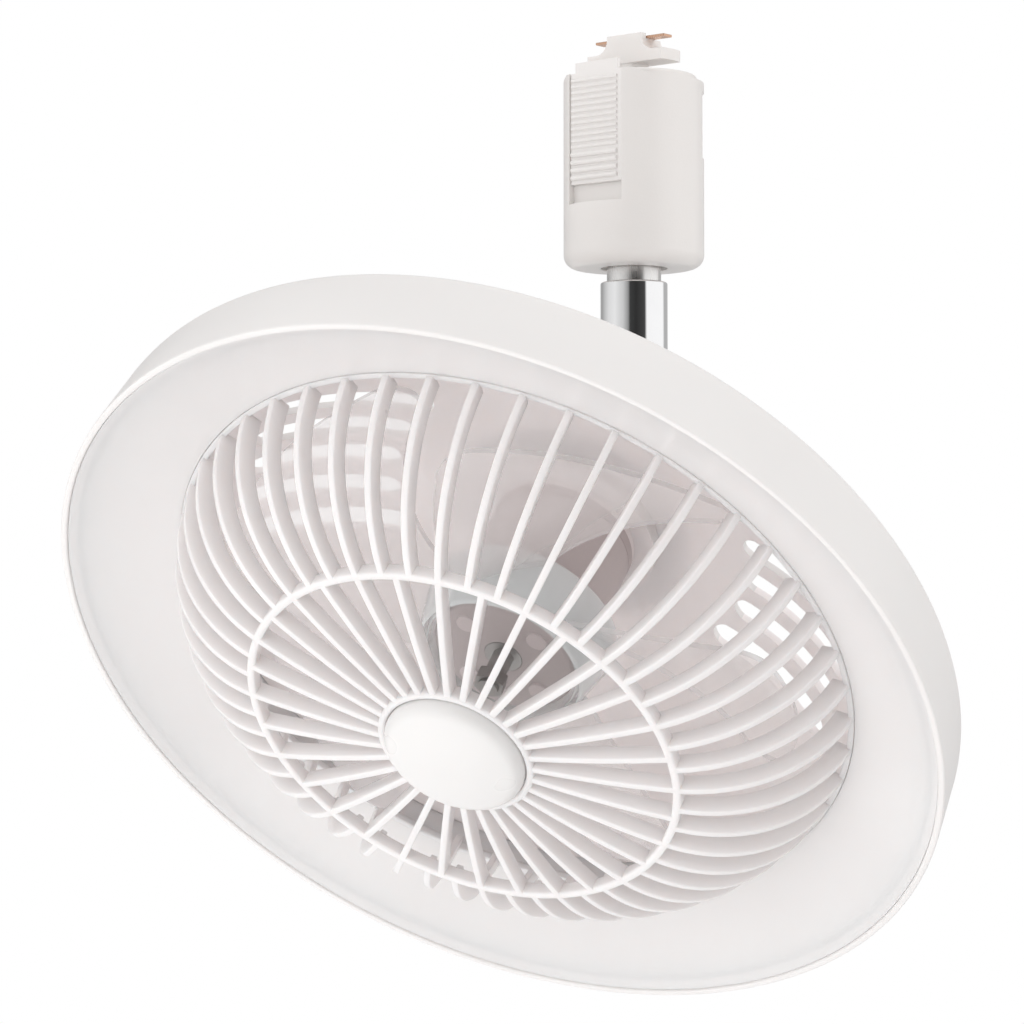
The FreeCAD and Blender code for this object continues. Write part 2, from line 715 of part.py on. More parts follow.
def petal(low, high):
    """Upright prism with a blade's outline, seen along the axis. The root lies inside the cup."""
    root = CUP_FRONT_R - CUP_WALL
    shoulder = TIP_R - PETAL_SHOULDER
    corner = TIP_R - PETAL_CORNER
    middle = (root + shoulder) / 2
    back, back_tip, front_tip, front = PETAL_BACK, PETAL_BACK_TIP, PETAL_FRONT_TIP, PETAL_FRONT
    crest = (back_tip[1] + front_tip[0]) / 2
    arcs = [
        (polar(root, back[0]), polar(middle, back[1]), polar(shoulder, back[2])),
        (polar(shoulder, back[2]), polar(corner, back_tip[0]), polar(TIP_R, back_tip[1])),
        (polar(TIP_R, back_tip[1]), polar(TIP_R, crest), polar(TIP_R, front_tip[0])),
        (polar(TIP_R, front_tip[0]), polar(corner, front_tip[1]), polar(shoulder, front[0])),
        (polar(shoulder, front[0]), polar(middle, front[1]), polar(root, front[2]))]
    edges = [Part.Arc(*[V(x, y, low) for x, y in arc]).toShape() for arc in arcs]
    edges.append(Part.makeLine(V(*arcs[-1][2], low), V(*arcs[0][0], low)))
    return Part.Face(Part.Wire(edges)).extrude(V(0, 0, high - low))


def blade_section(x, half_width, mean, slope, lag):
    """Cross-section of the twisted sheet at a distance x along the blade."""
    corners = []
    for y, side in ((-half_width, -1), (half_width, -1), (half_width, 1), (-half_width, 1)):
        corners.append(V(x, y, mean + slope * (y - lag) + side * BLADE_T / 2))
    return Part.makePolygon(corners + corners[:1])


def impeller():
    front = CUP_INSIDE + CUP_WALL
    back = front - CUP_DEPTH
    under = back - CUP_DEPTH
    mean = front - BLADE_SET
    inner_x = CUP_FRONT_R / 2
    outer_x = TIP_R + CUP_WALL
    root = blade_section(inner_x, TIP_R, mean, ROOT_SLOPE, ROOT_LAG)
    tip = blade_section(outer_x, TIP_R, mean + TIP_RISE, TIP_SLOPE, TIP_LAG)
    sheet = Part.makeLoft([root, tip], True, True)
    blade = sheet.common(petal(back - TIP_R, front + TIP_R))
    cup = revolved(
        (0, back), (CUP_BACK_R, back), (CUP_FRONT_R, front), (SHAFT_BOSS_R, front),
        (SHAFT_BOSS_R, boss_front()), (0, boss_front()))
    hollow = revolved(
        (0, under), (CUP_BACK_R - CUP_WALL, under), (CUP_BACK_R - CUP_WALL, back),
        (CUP_FRONT_R - CUP_WALL, CUP_INSIDE), (0, CUP_INSIDE))
    bore = rod(SHAFT_R + PRESS_FIT, back, boss_front() + CUT_OVER)
    return joined(cup, around(blade, BLADES, BLADE_FIRST)).cut([hollow, bore])


def impeller_nut():
    low = boss_front()
    bore = rod(SHAFT_R + PRESS_FIT, low - CUT_OVER, low + NUT_T + CUT_OVER)
    return hexagon(NUT_AF, low, low + NUT_T).cut(bore)


# Tilt hinge: the bolt lies along X through the pivot

def ear_inside():
    return EYE_W / 2 + WASHER_T + 2 * RUN_FIT


def tilt_bracket():
    pivot = -PIVOT_BACK
    inside = ear_inside()
    outside = inside + EAR_T
    half = BRACKET_L / 2
    base = block((-outside, outside), (-half, half), (BRACKET_BACK, DRIVER_BACK))
    parts = []
    for low in (-outside, inside):
        parts.append(block((low, low + EAR_T), (-EAR_R, EAR_R), (pivot, BRACKET_BACK + BRACKET_T / 2)))
        parts.append(Part.makeCylinder(EAR_R, EAR_T, V(low, 0, pivot), X_AXIS))
    fork = joined(base, parts)
    pin = Part.makeCylinder(BOLT_R + PRESS_FIT, 4 * inside, V(-2 * inside, 0, pivot), X_AXIS)
    hole = rod(SCREW_R + SEAT_FIT, BRACKET_BACK - CUT_OVER, DRIVER_BACK + CUT_OVER, x=bracket_screw_out())
    return fork.cut([pin] + around(hole, BRACKET_SCREWS, ACROSS))


def bracket_screws():
    piece = screw(BRACKET_T + DRIVER_WALL + SCREW_GRIP - SEAT_FIT)
    return around(moved(piece, bracket_screw_out(), 0, BRACKET_BACK), BRACKET_SCREWS, ACROSS)


def along_tilt_axis(shape):
    """Lay a piece drawn along Z on the tilt axis."""
    flat = turned(shape, ACROSS, V(0, 1, 0))
    return moved(flat, z=-PIVOT_BACK)


def tilt_bolt():
    outside = ear_inside() + EAR_T
    head = rod(BOLT_HEAD_R, -outside - BOLT_HEAD_T, -outside)
    shank = rod(BOLT_R, -outside - BOLT_HEAD_T / 2, outside + NUT_T + SHAFT_PROUD)
    return along_tilt_axis(joined(head, [shank]))


def tilt_nut():
    low = ear_inside() + EAR_T
    bore = rod(BOLT_R + PRESS_FIT, low - CUT_OVER, low + NUT_T + CUT_OVER)
    return along_tilt_axis(hexagon(BOLT_HEAD_R * 2, low, low + NUT_T).cut(bore))


def tilt_washers():
    high = ear_inside()
    ring = tube(EAR_R, BOLT_R + PRESS_FIT, high - WASHER_T, high)
    return [along_tilt_axis(ring), along_tilt_axis(turned(ring, 180, X_AXIS))]


# Stem

def stem_eye():
    shoulder = TUBE_LOW - EYE_SHOULDER
    half = EYE_W / 2
    tongue = block((-half, half), (-EAR_R, EAR_R), (PIVOT_Z, shoulder + EYE_SHOULDER / 2))
    tongue = tongue.common(rod(TUBE_R, PIVOT_Z, TUBE_LOW))
    eye = Part.makeCylinder(EAR_R, EYE_W, V(-half, 0, PIVOT_Z), X_AXIS)
    disc = rod(TUBE_R, shoulder, TUBE_LOW)
    plug = rod(TUBE_R - TUBE_WALL - PRESS_FIT, TUBE_LOW - EYE_SHOULDER / 2, TUBE_LOW + EYE_PLUG)
    bore = Part.makeCylinder(BOLT_R + RUN_FIT, 2 * EYE_W, V(-EYE_W, 0, PIVOT_Z), X_AXIS)
    return joined(tongue, [eye, disc, plug]).cut(bore)


def stem_tube():
    inner = TUBE_R - TUBE_WALL
    bore = NECK_R + PRESS_FIT
    return revolved(
        (TUBE_R, TUBE_LOW), (TUBE_R, TUBE_TOP - TUBE_CHAMFER), (TUBE_R - TUBE_CHAMFER, TUBE_TOP),
        (bore, TUBE_TOP), (bore, TUBE_TOP - TUBE_TOP_T), (inner, TUBE_TOP - TUBE_TOP_T),
        (inner, TUBE_LOW))


def stem_neck():
    return tube(NECK_R, NECK_BORE_R, TUBE_TOP - TUBE_TOP_T, NUT_LOW + NUT_ROUND_T + SHAFT_PROUD)


def swivel_washer():
    return tube(NUT_ROUND_R, NECK_R + PRESS_FIT, NUT_LOW - WASHER_T, NUT_LOW)


def neck_nut():
    high = NUT_LOW + NUT_ROUND_T
    arm = block((-STOP_ARM_W / 2, STOP_ARM_W / 2), (STOP_CLEAR - CAVITY_FLAT, -NECK_R), (NUT_LOW, high))
    nut = joined(rod(NUT_ROUND_R, NUT_LOW, high), [arm])
    return nut.cut(rod(NECK_R + PRESS_FIT, NUT_LOW - CUT_OVER, high + CUT_OVER))


# Rail adapter

def adapter_body():
    edge = (BODY_R - BODY_EDGE, BODY_LOW + BODY_EDGE)
    diagonal = BODY_EDGE * math.sqrt(0.5)
    shell = revolved(
        (0, BODY_LOW), (edge[0], BODY_LOW), ((edge[0] + diagonal, edge[1] - diagonal), (BODY_R, edge[1])),
        (BODY_R, COLLAR_TOP), (0, COLLAR_TOP))
    reach = 2 * BODY_R
    top = COLLAR_TOP + CUT_OVER
    cavity = rod(BODY_R - BODY_WALL, FLOOR_TOP, top).cut(
        block((-reach, reach), (-reach, -CAVITY_FLAT), (-CHANNEL_LOW - BODY_WALL, top)))
    low_edge = block((-reach, reach), (-COLLAR_BACK, reach), (BODY_TOP, top))
    channel = block((-CHANNEL_W / 2, CHANNEL_W / 2), (-reach, -CHANNEL_FLOOR), (-CHANNEL_LOW, top))
    lug_half = LUG_W / 2 + SLIDE_FIT
    lug_slot = block((-lug_half, lug_half), (-CHANNEL_FLOOR - CUT_OVER, -CAVITY_FLAT + CUT_OVER),
                     (-LUG_LOW - LOCK_TRAVEL - SLIDE_FIT, LUG_H - LUG_LOW + SLIDE_FIT))
    swivel = rod(SWIVEL_HOLE_R, BODY_LOW - CUT_OVER, FLOOR_TOP + CUT_OVER)
    cuts = [cavity, low_edge, channel, lug_slot, swivel]
    for side in (-1, 1):
        crest = side * COLLAR_HALF
        foot = side * (COLLAR_HALF + COLLAR_SLOPE)
        past = side * reach
        slope = outline((crest, top), (crest, COLLAR_TOP), (foot, BODY_TOP), (past, BODY_TOP), (past, top))
        cuts.append(slope.extrude(V(0, -reach, 0)))
        grip_z = (-GRIP_LOW, GRIP_H - GRIP_LOW)
        grip = block((-GRIP_W / 2, GRIP_W / 2), (-reach, GRIP_DEEP - BODY_R), grip_z)
        cuts.append(turned(grip, side * GRIP_TURN))
    shell = shell.cut(cuts)
    shelf_top = spring_low()
    shelf_root = -CAVITY_FLAT - BODY_WALL / 2
    shelf = block((-LUG_W / 2, LUG_W / 2), (shelf_root, -LUG_REACH), (shelf_top - SHELF_T, shelf_top))
    stop_y = BODY_R - BODY_WALL / 2
    stop = block((-STOP_POST_W / 2, STOP_POST_W / 2), (NUT_ROUND_R + STOP_CLEAR, stop_y),
                 (BUSH_TOP + WASHER_T, NUT_LOW + NUT_ROUND_T))
    inside = BODY_R - BODY_WALL
    ledge = tube(inside + BODY_WALL / 2, inside - COVER_LEDGE_W, -COVER_T - COVER_LEDGE_T, -COVER_T)
    inner_side = block((-reach, reach), (-CAVITY_FLAT - BODY_WALL / 2, reach), (FLOOR_TOP, BODY_TOP))
    return joined(shell, [shelf, stop, ledge.common(inner_side)])


def adapter_top_cover():
    radius = BODY_R - BODY_WALL - SEAT_FIT
    plate = revolved(
        (0, -COVER_T), (radius, -COVER_T), (radius, -COVER_EDGE), (radius - COVER_EDGE, 0), (0, 0))
    flat = block((-BODY_R, BODY_R), (-BODY_R, -CAVITY_FLAT + SEAT_FIT), (-COVER_T - CUT_OVER, CUT_OVER))
    return plate.cut([flat, rod(KEY_NECK_R + SEAT_FIT, -COVER_T - CUT_OVER, CUT_OVER)])


def contact_leg(side, fit):
    """Upright slot or leg of one contact strip."""
    inner = CONTACT_LEG_IN - fit
    outer = CONTACT_LEG_IN + CONTACT_T + fit
    half = CONTACT_W / 2 + fit
    top = WING_LOW + WING_T + BLADE_SEAT + CONTACT_T
    leg = block((inner, outer), (-half, half), (-CONTACT_TAIL - fit, top))
    return turned(leg, 0 if side > 0 else 180)


def contact_key():
    wing_top = WING_LOW + WING_T
    seat = wing_top + BLADE_SEAT
    foot = BOSS_HALF + BOSS_FLARE
    pinch = (BOSS_HALF + BOSS_FLARE * (1 - math.sqrt(0.5)), seat - BLADE_SEAT * math.sqrt(0.5))
    body = strip(
        2 * WING_HALF_W, (-WING_R, WING_LOW), (WING_R, WING_LOW), (WING_R, wing_top), (foot, wing_top),
        (pinch, (BOSS_HALF, seat)), (-BOSS_HALF, seat), ((-pinch[0], pinch[1]), (-foot, wing_top)),
        (-WING_R, wing_top))
    body = body.common(rod(WING_R, WING_LOW, seat))
    wall_y = (-WING_HALF_W, BOSS_WALL_T - WING_HALF_W)
    wall = block((-BOSS_HALF, BOSS_HALF), wall_y, (wing_top, seat + BOSS_WALL_UP))
    neck = rod(KEY_NECK_R, -COVER_T, WING_LOW + WING_T / 2)
    flange = rod(KEY_FLANGE_R, -COVER_T - KEY_FLANGE_T, -COVER_T)
    key = joined(body, [wall, neck, flange])
    return key.cut([contact_leg(side, CONTACT_FIT) for side in (-1, 1)])


def contact_blades():
    low = WING_LOW + WING_T + BLADE_SEAT
    half = CONTACT_W / 2
    blades = []
    for side in (-1, 1):
        arm = block((CONTACT_LEG_IN, CONTACT_OUT), (-half, half), (low, low + CONTACT_T))
        arm = turned(arm, 0 if side > 0 else 180)
        blades.append(joined(arm, [contact_leg(side, 0)]))
    return blades


def spring_low():
    return -LUG_LOW - SPRING_FREE


def lock_slider():
    half = CHANNEL_W / 2 - SEAT_FIT
    back = -CHANNEL_FLOOR - SEAT_FIT
    face = -SLIDE_OUT
    plate = block((-half, half), (face, back), (-SLIDER_LOW, COLLAR_TOP))
    tab = block((-TAB_HALF, TAB_HALF), (face, back), (BODY_TOP, TAB_UP))
    lug = block((-LUG_W / 2, LUG_W / 2), (back - SEAT_FIT, -LUG_REACH), (-LUG_LOW, LUG_H - LUG_LOW))
    parts = [tab, lug]
    for k in range(RIDGES):
        height = RIDGE_LOW - SLIDER_LOW + k * RIDGE_PITCH
        length = 2 * (half - RIDGE_INSET)
        parts.append(Part.makeCylinder(RIDGE_R, length, V(-length / 2, face, height), X_AXIS))
    return joined(plate, parts)


def arc_edge(start, heading, end):
    """Arc from a point, along a heading, to a second point."""
    chord = end - start
    length = chord.Length
    along = chord / length
    ahead = heading.dot(along)
    aside = heading - along * ahead
    half_turn = math.acos(ahead) / 2
    middle = start + chord / 2 + aside.normalize() * (length / 2 * math.tan(half_turn))
    return Part.Arc(start, middle, end).toShape()


def helix_point(turn):
    """Point and heading on the spring's middle line."""
    angle = 2 * math.pi * turn
    pitch = (SPRING_FREE - 2 * SPRING_WIRE_R - 2 * SPRING_END_GAP) / SPRING_TURNS
    point = V(SPRING_R * math.cos(angle), SPRING_R * math.sin(angle), SPRING_WIRE_R + turn * pitch)
    heading = V(-math.sin(angle), math.cos(angle), pitch / (2 * math.pi * SPRING_R))
    return point, heading.normalize()


def lock_spring():
    quarters = 4 * SPRING_TURNS
    edges = []
    for k in range(quarters):
        start, leave = helix_point(k / 4)
        end, arrive = helix_point((k + 1) / 4)
        chord = end - start
        both = leave + arrive
        spread = 2 * (1 - leave.dot(arrive))
        reach = (math.sqrt(chord.dot(both) ** 2 + spread * chord.dot(chord)) - chord.dot(both)) / spread
        meet = (start + end + (leave - arrive) * reach) / 2
        edges.append(arc_edge(start, leave, meet))
        edges.append(arc_edge(end, arrive * -1, meet))
    path = Part.Wire(Part.__sortEdges__(edges))
    start, leave = helix_point(0)
    ring = Part.Wire(Part.makeCircle(SPRING_WIRE_R, start, leave))
    coil = path.makePipeShell([ring], True, False)
    middle_y = -(CAVITY_FLAT + LUG_REACH) / 2
    return moved(coil, 0, middle_y, spring_low() + SPRING_END_GAP)


def spring_self_gap():
    """Least space between turns of the spring, measured on points."""
    steps = 24
    points = [helix_point(k / steps)[0] for k in range(steps * SPRING_TURNS + 1)]
    near = min(a.distanceToPoint(b) for i, a in enumerate(points) for b in points[i + steps // 2:])
    return near - 2 * SPRING_WIRE_R


def swivel_bush():
    bore = NECK_R + RUN_FIT
    outer = SWIVEL_HOLE_R - PRESS_FIT
    low = BODY_LOW + BODY_FLOOR / 2
    return revolved(
        (bore, low), (outer, low), (outer, FLOOR_TOP), (BUSH_FLANGE_R, FLOOR_TOP),
        (BUSH_FLANGE_R, BUSH_TOP), (bore, BUSH_TOP))


def save(name, shape):
    """Write one piece, or a group of like pieces, to its own file."""
    solid = Part.makeCompound(shape) if isinstance(shape, list) else shape
    solid.exportStep("parts/" + name + ".step")


def placed(shape, place):
    return [place(piece) for piece in shape] if isinstance(shape, list) else place(shape)


HEAD = (
    ring_housing, diffuser, led_board, led_chips, front_grille, hub_cap, rear_cover, case_screws,
    driver_housing, driver_board, motor_housing, motor_end_cover, motor_bearings, motor_stator,
    motor_rotor, motor_shaft, motor_pad, motor_screws, impeller, impeller_nut, tilt_bracket,
    bracket_screws, tilt_bolt, tilt_nut, tilt_washers)
STEM = (stem_eye, stem_tube, stem_neck, swivel_washer, neck_nut)
ADAPTER = (
    adapter_body, adapter_top_cover, contact_key, contact_blades, lock_slider, lock_spring, swivel_bush)

os.makedirs("parts", exist_ok=True)
for make in HEAD:
    save(make.__name__, placed(make(), in_head))
for make in STEM:
    save(make.__name__, placed(make(), on_stem))
for make in ADAPTER:
    save(make.__name__, make())
print("spring gap", round(spring_self_gap(), 2))
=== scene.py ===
import bmesh
import bpy
import json
import math
from mathutils import Matrix, Vector


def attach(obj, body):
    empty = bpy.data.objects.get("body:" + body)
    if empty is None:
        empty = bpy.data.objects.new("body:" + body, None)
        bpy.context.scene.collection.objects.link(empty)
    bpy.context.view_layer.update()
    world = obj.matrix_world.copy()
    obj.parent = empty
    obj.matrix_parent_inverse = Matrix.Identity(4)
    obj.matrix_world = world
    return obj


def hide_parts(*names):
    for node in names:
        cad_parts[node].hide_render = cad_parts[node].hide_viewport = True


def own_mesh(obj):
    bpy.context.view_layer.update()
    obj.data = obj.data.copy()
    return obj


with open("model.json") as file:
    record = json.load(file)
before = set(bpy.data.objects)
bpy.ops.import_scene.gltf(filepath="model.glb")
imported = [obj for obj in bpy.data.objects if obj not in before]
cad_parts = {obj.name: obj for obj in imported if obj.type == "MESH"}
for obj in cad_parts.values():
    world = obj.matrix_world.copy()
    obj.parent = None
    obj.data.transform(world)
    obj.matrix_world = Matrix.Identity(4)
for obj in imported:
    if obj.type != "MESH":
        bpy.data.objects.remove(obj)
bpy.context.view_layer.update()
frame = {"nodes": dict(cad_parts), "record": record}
nodes = frame["nodes"]

# Sizes of pieces are in millimetres; materials, lamps, floor and camera are in metres.
# The head has a frame of its own: height 0 at the front of the light ring, and the axis out of the grille.
MM = 0.001
TILT, PAN = math.radians(45), math.radians(10)
PIVOT_BACK, PIVOT_Z = 122.0, -95.7
HEAD = (Matrix.Translation((0, 0, PIVOT_Z * MM)) @ Matrix.Rotation(PAN, 4, "Z")
        @ Matrix.Rotation(math.pi - TILT, 4, "X") @ Matrix.Translation((0, 0, PIVOT_BACK * MM)))


# Materials

RAMP_START, RAMP_END = 0.3, 0.7
COLOUR_DETAIL, FINE_DETAIL = 3.0, 2.0
BUMP_STRENGTH = 0.6
PLASTIC_IOR = 1.5
WARM_REACH = (1.0, 0.85, 0.8)
COAT_ROUGH, CLEAR_COAT, CLEAR_COAT_ROUGH = 0.12, 0.6, 0.05


def new_material(name):
    mat = bpy.data.materials.new(name)
    mat.use_nodes = True
    tree = mat.node_tree
    return mat, tree, tree.nodes["Principled BSDF"]


def noise(tree, scale, detail, stretch=None):
    coords = tree.nodes.new("ShaderNodeTexCoord").outputs["Object"]
    node = tree.nodes.new("ShaderNodeTexNoise")
    node.inputs["Scale"].default_value = scale
    node.inputs["Detail"].default_value = detail
    if stretch:
        mapping = tree.nodes.new("ShaderNodeMapping")
        mapping.inputs["Scale"].default_value = stretch
        tree.links.new(coords, mapping.inputs["Vector"])
        coords = mapping.outputs["Vector"]
    tree.links.new(coords, node.inputs["Vector"])
    return node.outputs["Fac"]


def vary_colour(tree, bsdf, low, high, scale):
    ramp = tree.nodes.new("ShaderNodeValToRGB")
    for stop, place, colour in zip(ramp.color_ramp.elements, (RAMP_START, RAMP_END), (low, high)):
        stop.position = place
        stop.color = (*colour, 1)
    tree.links.new(noise(tree, scale, COLOUR_DETAIL), ramp.inputs["Fac"])
    tree.links.new(ramp.outputs["Color"], bsdf.inputs["Base Color"])


def vary_roughness(tree, bsdf, low, high, scale, stretch=None):
    span = tree.nodes.new("ShaderNodeMapRange")
    span.inputs["To Min"].default_value = low
    span.inputs["To Max"].default_value = high
    tree.links.new(noise(tree, scale, FINE_DETAIL, stretch), span.inputs["Value"])
    tree.links.new(span.outputs["Result"], bsdf.inputs["Roughness"])


def grain(tree, bsdf, scale, depth, stretch=None):
    bump = tree.nodes.new("ShaderNodeBump")
    bump.inputs["Distance"].default_value = depth
    bump.inputs["Strength"].default_value = BUMP_STRENGTH
    tree.links.new(noise(tree, scale, FINE_DETAIL, stretch), bump.inputs["Height"])
    tree.links.new(bump.outputs["Normal"], bsdf.inputs["Normal"])


def shade(colour, factor):
    return tuple(min(1.0, c * factor) for c in colour)


def moulded(name, colour, rough, depth=0.00003, scale=1400, glow=0.0, reach=0.003, coat=0.0):
    """Moulded plastic: faint flow marks in the colour, a fine grain, uneven gloss."""
    mat, tree, bsdf = new_material(name)
    vary_colour(tree, bsdf, low=shade(colour, 0.975), high=shade(colour, 1.015), scale=14)
    vary_roughness(tree, bsdf, low=rough - 0.05, high=rough + 0.06, scale=40)
    grain(tree, bsdf, scale, depth)
    bsdf.inputs["IOR"].default_value = PLASTIC_IOR
    if glow:
        bsdf.inputs["Subsurface Weight"].default_value = glow
        bsdf.inputs["Subsurface Radius"].default_value = WARM_REACH
        bsdf.inputs["Subsurface Scale"].default_value = reach
    if coat:
        bsdf.inputs["Coat Weight"].default_value = coat
        bsdf.inputs["Coat Roughness"].default_value = COAT_ROUGH
    return mat


def metal(name, colour, low, high, stretch=None, depth=0.00001, scale=300):
    """Bare metal: uneven gloss, with fine marks along the way it was worked."""
    mat, tree, bsdf = new_material(name)
    bsdf.inputs["Metallic"].default_value = 1.0
    vary_colour(tree, bsdf, low=shade(colour, 0.96), high=shade(colour, 1.03), scale=30)
    vary_roughness(tree, bsdf, low, high, scale, stretch)
    grain(tree, bsdf, scale * 2, depth, stretch)
    return mat


def clear_plastic(name, tint, cover, rough):
    """Clear moulding: a thin veil of colour under a glossy skin, with faint waves."""
    mat, tree, bsdf = new_material(name)
    vary_colour(tree, bsdf, low=shade(tint, 0.97), high=shade(tint, 1.02), scale=20)
    vary_roughness(tree, bsdf, low=rough, high=rough + 0.06, scale=60)
    grain(tree, bsdf, scale=70, depth=0.00005)
    bsdf.inputs["Alpha"].default_value = cover
    bsdf.inputs["Coat Weight"].default_value = CLEAR_COAT
    bsdf.inputs["Coat Roughness"].default_value = CLEAR_COAT_ROUGH
    return mat


SHELL = moulded("shell_white", (0.81, 0.795, 0.785), rough=0.36, glow=0.15)
ADAPTER = moulded("adapter_white", (0.80, 0.776, 0.757), rough=0.30, glow=0.12, coat=0.15)
SLIDE = moulded("slide_white", (0.82, 0.80, 0.785), rough=0.36)
KEY = moulded("key_white", (0.82, 0.795, 0.775), rough=0.38, glow=0.12)
MILK = moulded("milk_diffuser", (0.785, 0.77, 0.765), rough=0.32, depth=0.00001, glow=0.35)
# Grille white with a pink tint painted in for light bounced off the bowl onto the rib sides
GRILLE_PAINTED_BOUNCE = moulded("grille_white", (0.83, 0.805, 0.802), rough=0.30, glow=0.6, reach=0.006, coat=0.15)
CAP = moulded("cap_white", (0.79, 0.783, 0.775), rough=0.28, glow=0.2, coat=0.15)
# Inside of the rear cover: brighter and pinker than the shell white, painted light for the light bounced
# round the bowl
COVER_PAINTED_BOUNCE = moulded("cover_white_painted_bounce", (0.96, 0.905, 0.90), rough=0.42, glow=0.35, reach=0.006)
BUSH = moulded("bush_plastic", (0.6, 0.59, 0.58), rough=0.5)
BOARD = moulded("board", (0.12, 0.22, 0.13), rough=0.5, depth=0.00005, scale=600)
LED = moulded("led", (0.85, 0.72, 0.30), rough=0.25)
RUBBER = moulded("rubber", (0.88, 0.83, 0.82), rough=0.6, depth=0.00006)
MOTOR = moulded("motor_paint", (0.56, 0.495, 0.49), rough=0.42, depth=0.00004, scale=900)
# Motor side: darkened as painted shade, standing in for the shadow beside the fan's cup
CASE_PAINTED_SHADE = moulded("motor_side_painted_shade", (0.58, 0.52, 0.515), rough=0.45, depth=0.00004)
STUD = moulded("motor_stud", (0.72, 0.64, 0.635), rough=0.35)
BLADE = clear_plastic("clear_fan", (0.95, 0.905, 0.90), cover=0.32, rough=0.08)
DISC = clear_plastic("clear_disc", (0.92, 0.90, 0.90), cover=0.07, rough=0.08)
# Cup wall: a denser, bluish copy of the clear plastic, painted sheen of the wall seen at a slant
CUP_PAINTED_SHEEN = clear_plastic("clear_cup_painted_sheen", (0.86, 0.90, 0.905), cover=0.62, rough=0.14)
# Blade edges: a denser copy of the clear plastic, painted edge lines for light bent and reflected in the
# edges
EDGE_LINE_PAINTED = clear_plastic("clear_edge_painted_lines", (0.86, 0.86, 0.86), cover=0.45, rough=0.1)
CHROME = metal("chrome", (0.93, 0.93, 0.935), low=0.04, high=0.08, scale=60, depth=0.000002)
STEEL = metal("satin_steel", (0.84, 0.83, 0.82), low=0.22, high=0.32, stretch=(1, 1, 0.05))
# Inner steel darkened as painted shade, for the dim light inside the fan's cup
AXLE_PAINTED_SHADE = metal("axle_steel_painted_shade", (0.40, 0.39, 0.38), low=0.3, high=0.42)
COPPER = metal("copper", (0.70, 0.44, 0.31), low=0.2, high=0.34)

FINISH = {
    "adapter_body": ADAPTER, "adapter_top_cover": ADAPTER, "contact_key": KEY, "contact_blades": COPPER,
    "lock_slider": SLIDE, "lock_spring": STEEL, "swivel_bush": BUSH, "stem_neck": STEEL,
    "neck_nut": STEEL, "swivel_washer": BUSH, "stem_tube": CHROME, "stem_eye": CHROME,
    "tilt_bracket": ADAPTER, "tilt_bolt": STEEL, "tilt_nut": STEEL, "tilt_washers": BUSH,
    "bracket_screws": STEEL, "driver_housing": SHELL, "driver_board": BOARD, "rear_cover": COVER_PAINTED_BOUNCE,
    "case_screws": STEEL, "ring_housing": SHELL, "led_board": BOARD, "led_chips": LED,
    "diffuser": MILK, "front_grille": GRILLE_PAINTED_BOUNCE, "hub_cap": CAP, "motor_housing": MOTOR,
    "motor_end_cover": MOTOR, "motor_stator": STEEL, "motor_bearings": AXLE_PAINTED_SHADE, "motor_pad": RUBBER,
    "motor_screws": STEEL, "motor_shaft": AXLE_PAINTED_SHADE, "motor_rotor": STEEL, "impeller": BLADE,
    "impeller_nut": AXLE_PAINTED_SHADE}
BODY_OF = {n: b for b, ns in frame["record"]["behaviour"]["bodies"].items() for n in ns}
for name, obj in nodes.items():
    obj.data.materials.clear()
    obj.data.materials.append(FINISH[name])


# Mesh helpers

SHARP, STRAIGHT, FLAT = math.radians(32), math.radians(172), math.radians(0.6)
BEVEL_ANGLE, BEVEL_STEPS = math.radians(38), 3
LONGEST_CUT = 0.45
TINY = 1e-6


def mark_sharp(bm):
    for face in bm.faces:
        face.smooth = True
    for edge in bm.edges:
        edge.smooth = len(edge.link_faces) != 2 or edge.calc_face_angle(0) < SHARP


def finish_faces(bm):
    """Turn all faces of a closed mesh outwards."""
    bmesh.ops.recalc_face_normals(bm, faces=bm.faces[:])
    return bm


def stand_for(node, bm, place=None, more=()):
    """Put a finer mesh in a node's place: it rides on the node's body and takes its finish."""
    mark_sharp(bm)
    mesh = bpy.data.meshes.new(node + "_fine")
    bm.to_mesh(mesh)
    bm.free()
    if place:
        mesh.transform(place)
    for finish in (FINISH[node],) + more:
        mesh.materials.append(finish)
    obj = bpy.data.objects.new(node + "_fine", mesh)
    bpy.context.scene.collection.objects.link(obj)
    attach(obj, BODY_OF[node])
    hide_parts(node)
    return obj


def eased(points, steps, radius=0.0, closed=True):
    """Round the corners of an outline. A point may carry its own radius as a third value."""
    result = []
    count = len(points)
    for i, point in enumerate(points):
        here = Vector(point[:2])
        before = Vector(points[i - 1][:2]) - here
        after = Vector(points[(i + 1) % count][:2]) - here
        r = point[2] if len(point) > 2 else radius
        turn = before.angle(after) if before.length and after.length else math.pi
        if r <= 0 or turn > STRAIGHT or (not closed and i in (0, count - 1)):
            result.append(here)
            continue
        cut = min(r / math.tan(turn / 2), before.length * LONGEST_CUT, after.length * LONGEST_CUT)
        r = cut * math.tan(turn / 2)
        before.normalize()
        after.normalize()
        centre = here + (before + after).normalized() * (r / math.sin(turn / 2))
        first = here + before * cut - centre
        sweep = first.angle_signed(here + after * cut - centre)
        for k in range(steps + 1):
            a = -sweep * k / steps
            result.append(centre + Vector((first.x * math.cos(a) - first.y * math.sin(a),
                                           first.x * math.sin(a) + first.y * math.cos(a))))
    return result


def circle(start, middle, end):
    """Centre of the circle through three points."""
    (ax, ay), (bx, by), (cx, cy) = start, middle, end
    d = 2 * (ax * (by - cy) + bx * (cy - ay) + cx * (ay - by))
    a, b, c = ax * ax + ay * ay, bx * bx + by * by, cx * cx + cy * cy
    x = (a * (by - cy) + b * (cy - ay) + c * (ay - by)) / d
    y = (a * (cx - bx) + b * (ax - cx) + c * (bx - ax)) / d
    return x, y


